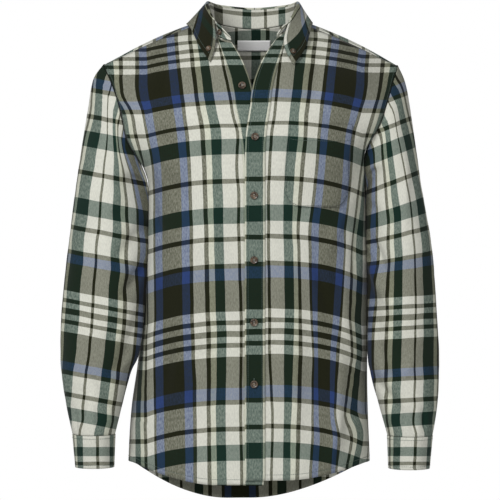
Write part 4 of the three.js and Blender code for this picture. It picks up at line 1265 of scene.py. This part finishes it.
def makeSleevePlacket(side):
    columns = 8

    def place(up, out):
        row = lastSleeveRow - sleeveSlit["fromCuff"] - sleeveSlit["sections"] * up
        middle, reach, down, depth = sleeveFrame(side, row)
        half = sleeveSlit["width"] / (reach.length + depth)
        around = math.radians(sleeveSlit["around"]) + mix(-half, half, out)
        return sleevePoint(side, around, row, (0, 0, 0))

    grid = turnedOut(gridOf(40, columns, place), side, sleeveSlit["stand"])
    places = [[(sleeveSlit["width"] * column / columns / chartStep, sleeveWeftAt(side, spot))
               for column, spot in enumerate(line)] for line in grid]
    clothPiece("cloth_sleeve_placket_" + sideNames[side], grid, places, cloth["trim"],
               "sleeve_placket_" + sideNames[side],
               sleeveMiddle(side))


cuffGrids = {}
for side in sideNames:
    makeSleeve(side)
    cuffGrids[side] = makeCuff(side)
    makeSleevePlacket(side)
print("sleeves and cuffs made")


# Label.

labelSize = {"columns": 24, "rows": 8, "thickness": 0.6, "inset": 0.0004, "reach": 0.05}


def treeOf(name):
    return BVHTree.FromObject(bpy.data.objects[name], bpy.context.evaluated_depsgraph_get())


def makeLabel():
    low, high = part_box("neck_label")
    tree = treeOf("neck_label")
    inset = labelSize["inset"]

    def place(up, out):
        x, z = mix(low[0] + inset, high[0] - inset, out), mix(low[2] + inset, high[2] - inset, up)
        hit = tree.ray_cast(Vector((x, low[1] - labelSize["reach"], z)), Vector((0, 1, 0)))[0]
        return Vector((x, hit.y if hit else low[1], z)) / mm

    grid = gridOf(labelSize["rows"], labelSize["columns"], place)
    places = [[(0, 0)] * len(grid[0])] * len(grid)
    piece = clothPiece("label_blank", grid, places, labelSize["thickness"], "neck_label",
                       lambda centre: Vector((0, 0.4, centre.z)), satin)


makeLabel()


# Buttons.

buttonSize = {"front": 6.1, "small": 4.7, "sides": 36, "thickness": 2.5, "dish": 0.75,
              "hole": 0.65, "spread": 1.15, "stand": 0.5}


def buttonMesh(radius):
    shape = bmesh.new()
    size, top = buttonSize, buttonSize["thickness"]
    dish = top - size["dish"]
    profile = [(0, 0), (radius - 0.9, 0), (radius - 0.25, 0.45), (radius, top * 0.55),
               (radius - 0.35, top - 0.25), (radius - 0.8, top), (radius - 1.35, top - 0.15),
               (radius - 2.1, dish), (0, dish)]
    spots = [shape.verts.new((x * mm, 0, z * mm)) for x, z in profile]
    edges = [shape.edges.new(pair) for pair in zip(spots, spots[1:])]
    bmesh.ops.spin(shape, geom=spots + edges, axis=(0, 0, 1), cent=(0, 0, 0), use_merge=True,
                   steps=size["sides"], angle=2 * math.pi)
    bmesh.ops.remove_doubles(shape, verts=shape.verts, dist=0.000004)
    bmesh.ops.recalc_face_normals(shape, faces=shape.faces)
    blank = placeObject("button_blank", meshFrom(shape, "button_blank"))
    drill = bmesh.new()
    for x, y in ((1, 1), (-1, 1), (-1, -1), (1, -1)):
        move = Matrix.Translation((x * size["spread"] * mm, y * size["spread"] * mm, 0.0012))
        bmesh.ops.create_cone(drill, cap_ends=True, segments=12, radius1=size["hole"] * mm,
                              radius2=size["hole"] * mm, depth=0.006, matrix=move)
    tool = placeObject("button_drill", meshFrom(drill, "button_drill"))
    cut = blank.modifiers.new("holes", "BOOLEAN")
    cut.object = tool
    cut.operation = "DIFFERENCE"
    graph = bpy.context.evaluated_depsgraph_get()
    made = bpy.data.meshes.new_from_object(blank.evaluated_get(graph))
    for item in (blank, tool):
        bpy.data.objects.remove(item)
    return made


def cadAxis(name):
    # the direction that a button's CAD solid faces: its flat underside is its largest face
    areas = {}
    for polygon in bpy.data.objects[name].data.polygons:
        key = tuple(round(part, 2) for part in polygon.normal)
        areas[key] = areas.get(key, 0) + polygon.area
    return -Vector(max(areas, key=areas.get)).normalized()


def seatOn(clothName, centre, axis):
    # the spot of the cloth right under a button
    away, reach = 0.012, 0.03
    hit = treeOf(clothName).ray_cast(centre + axis * away, -axis, reach)[0]
    return centre if hit is None else hit


def addButton(name, radius, clothName):
    low, high = (Vector(corner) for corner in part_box(name))
    axis = cadAxis(name)
    centre = seatOn(clothName, (low + high) / 2, axis) + axis * (buttonSize["stand"] * mm)
    seat = Matrix.Translation(centre) @ axis.to_track_quat("Z", "Y").to_matrix().to_4x4()
    mesh = buttonMesh(radius)
    mesh.transform(seat)
    finishPiece("horn_" + name, mesh, horn, [name])
    shape = bmesh.new()
    for y in (-1, 1):
        place = Matrix.Translation((0, y * buttonSize["spread"] * mm, 0.00195))
        size = Matrix.Diagonal((2.6 * mm, 0.55 * mm, 0.5 * mm, 1))
        bmesh.ops.create_cube(shape, size=1, matrix=seat @ place @ size)
    shank = Matrix.Translation((0, 0, 0.0002))
    bmesh.ops.create_cone(shape, cap_ends=True, segments=10, radius1=0.0011, radius2=0.0011,
                          depth=0.0022, matrix=seat @ shank)
    finishPiece("thread_" + name, meshFrom(shape, "thread_" + name), paleThread)
    return centre, axis


buttonSpots = {}
for index in range(1, 7):
    buttonSpots[index] = addButton("button_front_%d" % index, buttonSize["front"],
                                   "cloth_button_band" if index == 1 else "cloth_placket")
for name, clothName in (("stand", "collar_stand"), ("collar_right", "collar"),
                        ("collar_left", "collar"), ("cuff_right", "cuff_right"),
                        ("cuff_left", "cuff_left")):
    addButton("button_" + name, buttonSize["small"], "cloth_" + clothName)
print("buttons made")


# Stitching.

stitch = {"length": 2.7, "gap": 0.7, "width": 0.5, "height": 0.35, "sink": 0.05}


def lineOn(grid, path):
    # spots and normals of a path given as (row, column) places on a grid
    result = []
    rows, columns = len(grid) - 1, len(grid[0]) - 1
    for row, column in path:
        row, column = min(rows - 0.001, max(0, row)), min(columns - 0.001, max(0, column))
        r, c = int(row), int(column)
        a, b, d, e = grid[r][c], grid[r][c + 1], grid[r + 1][c], grid[r + 1][c + 1]
        spot = a.lerp(b, column - c).lerp(d.lerp(e, column - c), row - r)
        result.append((spot, (b - a).cross(d - a).normalized()))
    return result


def stitchRow(name, lines, facing, material=thread):
    shape = bmesh.new()
    step = stitch["length"] + stitch["gap"]
    size = Matrix.Diagonal([stitch[key] * mm for key in ("length", "width", "height")] + [1])
    for line in lines:
        walked, wanted = 0, step / 2
        for (start, normal), (end, following) in zip(line, line[1:]):
            length = (end - start).length
            while length > 0 and walked + length >= wanted:
                spot = start.lerp(end, (wanted - walked) / length)
                along = (end - start).normalized()
                up = (normal * facing).normalized()
                side = along.cross(up).normalized()
                up = side.cross(along)
                turn = Matrix((along, side, up)).transposed().to_4x4()
                move = Matrix.Translation((spot + up * stitch["sink"]) * mm)
                bmesh.ops.create_cube(shape, size=1, matrix=move @ turn @ size)
                wanted += step
            walked += length
    finishPiece(name, meshFrom(shape, name), material)


def column(grid, at, start=0.0, end=1.0, steps=160):
    rows = len(grid) - 1
    return lineOn(grid, [(mix(start, end, step / steps) * rows, at * (len(grid[0]) - 1))
                         for step in range(steps + 1)])


def rowLine(grid, at, start=0.0, end=1.0, steps=160):
    columns = len(grid[0]) - 1
    return lineOn(grid, [(at * (len(grid) - 1), mix(start, end, step / steps) * columns)
                         for step in range(steps + 1)])


stitchRow("stitch_placket", [column(bandGrids[1], 0.16), column(bandGrids[1], 0.84)], 1)
stitchRow("stitch_button_band", [column(bandGrids[-1], 0.9)], -1)
# the pocket's outline stitches are real, and their near-black thread is painted shadow along the
# pocket's edge
stitchRow("stitch_pocket", [column(pocketGrid, 0.015, 0.02, 0.99),
                            column(pocketGrid, 0.985, 0.02, 0.99),
                            rowLine(pocketGrid, 0.015, 0.02, 0.98)], 1, pocketShadowThread)
stitchRow("stitch_pocket_hem", [rowLine(pocketGrid, 0.8, 0.03, 0.97)], 1)
for side, name in sideNames.items():
    grid = frontGrids[side]
    stitchRow("stitch_front_" + name, [rowLine(grid, 1.5 / (len(grid) - 1)),
                                       column(grid, 0.985, 0.6, 0.99)], side)
    stitchRow("stitch_cuff_" + name, [rowLine(cuffGrids[side], 0.09),
                                      rowLine(cuffGrids[side], 0.9)], -side)
stitchRow("stitch_back", [rowLine(backGrid, 0.0125, steps=300)], -1)
stitchRow("stitch_yoke", [rowLine(yokeGrid, 0.05, steps=300), rowLine(yokeGrid, 0.95, 0, 0.31),
                          rowLine(yokeGrid, 0.95, 0.69, 1)], -1)
stitchRow("stitch_collar", [rowLine(collarGrid, 0.92, 0.015, 0.985, 300),
                            column(collarGrid, 0.015, 0.3, 0.92),
                            column(collarGrid, 0.985, 0.3, 0.92)], -1)
print("stitching made")


# Buttonholes.

buttonhole = {"length": 13, "bars": 11, "bar": 0.95, "height": 0.5, "apart": 0.55, "above": 0.32,
              "sunk": 0.6}


def makeButtonholes():
    shape = bmesh.new()
    grid = bandGrids[1]
    inner = range(2, len(grid[0]) - 2)
    size = Matrix.Diagonal((buttonhole["bar"] * mm, buttonhole["bar"] * mm,
                            buttonhole["height"] * mm, 1))
    for index in range(2, 7):
        centre, axis = buttonSpots[index]
        spot = centre / mm
        row, at = min(((row, at) for row in range(len(grid)) for at in inner),
                      key=lambda place: (grid[place[0]][place[1]] - spot).length_squared)
        up = (grid[min(row + 2, len(grid) - 1)][at] - grid[max(0, row - 2)][at]).normalized()
        side = up.cross(axis).normalized()
        turn = Matrix((side, up, axis)).transposed().to_4x4()
        base = centre - axis * (buttonhole["sunk"] * mm)
        for bar in range(buttonhole["bars"]):
            height = (bar / (buttonhole["bars"] - 1) - buttonhole["above"]) * buttonhole["length"]
            for away in (-buttonhole["apart"], buttonhole["apart"]):
                move = Matrix.Translation(base + side * (away * mm) + up * (height * mm))
                bmesh.ops.create_cube(shape, size=1, matrix=move @ turn @ size)
    finishPiece("stitch_buttonholes", meshFrom(shape, "buttonholes"), thread)


makeButtonholes()


# Floor, light and camera.

studio = {"floorHalf": 3.4, "floorZ": -1.3, "ambient": 0.2, "key": 69, "fill": 10, "front": 19,
          "back": 45, "aim": (0, 0, -0.35), "eye": (-0.0065, -4.0, -0.3564), "lens": 177.8}


def makeStudio():
    shape = bmesh.new()
    bmesh.ops.create_grid(shape, x_segments=1, y_segments=1, size=studio["floorHalf"],
                          matrix=Matrix.Translation((0, 0, studio["floorZ"])))
    floor = placeObject("studio_floor", meshFrom(shape, "studio_floor"))
    paper = Finish("studio_paper")
    paper.set(Base_Color=(0.72, 0.72, 0.72, 1), Roughness=0.9)
    floor.data.materials.append(paper.material)
    world = bpy.data.worlds.new("studio_air")
    bpy.context.scene.world = world
    world.use_nodes = True
    nodes, links = world.node_tree.nodes, world.node_tree.links
    background = nodes["Background"]
    background.inputs[0].default_value = (1, 1, 1, 1)
    path = nodes.new("ShaderNodeLightPath")
    pick = nodes.new("ShaderNodeMix")
    links.new(path.outputs["Is Camera Ray"], pick.inputs[0])
    pick.inputs[2].default_value = studio["ambient"]
    pick.inputs[3].default_value = 1.0
    links.new(pick.outputs[0], background.inputs[1])
    for name, spot, size, power in (("back_light", (-0.9, 3.3, 0.9), 2.0, studio["back"]),
                                    ("front_light", (0.3, -3.4, 0.5), 1.2, studio["front"]),
                                    ("key_light", (-1.5, -2.7, 1.3), 1.1, studio["key"]),
                                    ("fill_light", (1.9, -2.4, 0.3), 1.8, studio["fill"])):
        lamp = bpy.data.lights.new(name, "AREA")
        lamp.energy = power
        lamp.size = size
        light = placeObject(name, lamp)
        light.location = spot
        aim = Vector(studio["aim"]) - Vector(spot)
        light.rotation_euler = aim.to_track_quat("-Z", "Y").to_euler()
    bpy.context.scene.view_settings.view_transform = "Standard"
    eye = bpy.data.cameras.new("photo_camera")
    eye.lens = studio["lens"]
    eye.sensor_width = 36
    camera = placeObject("photo_camera", eye)
    camera.location = studio["eye"]
    camera.rotation_euler = (math.radians(90), 0, 0)
    bpy.context.scene.camera = camera


makeStudio()
print("studio made")
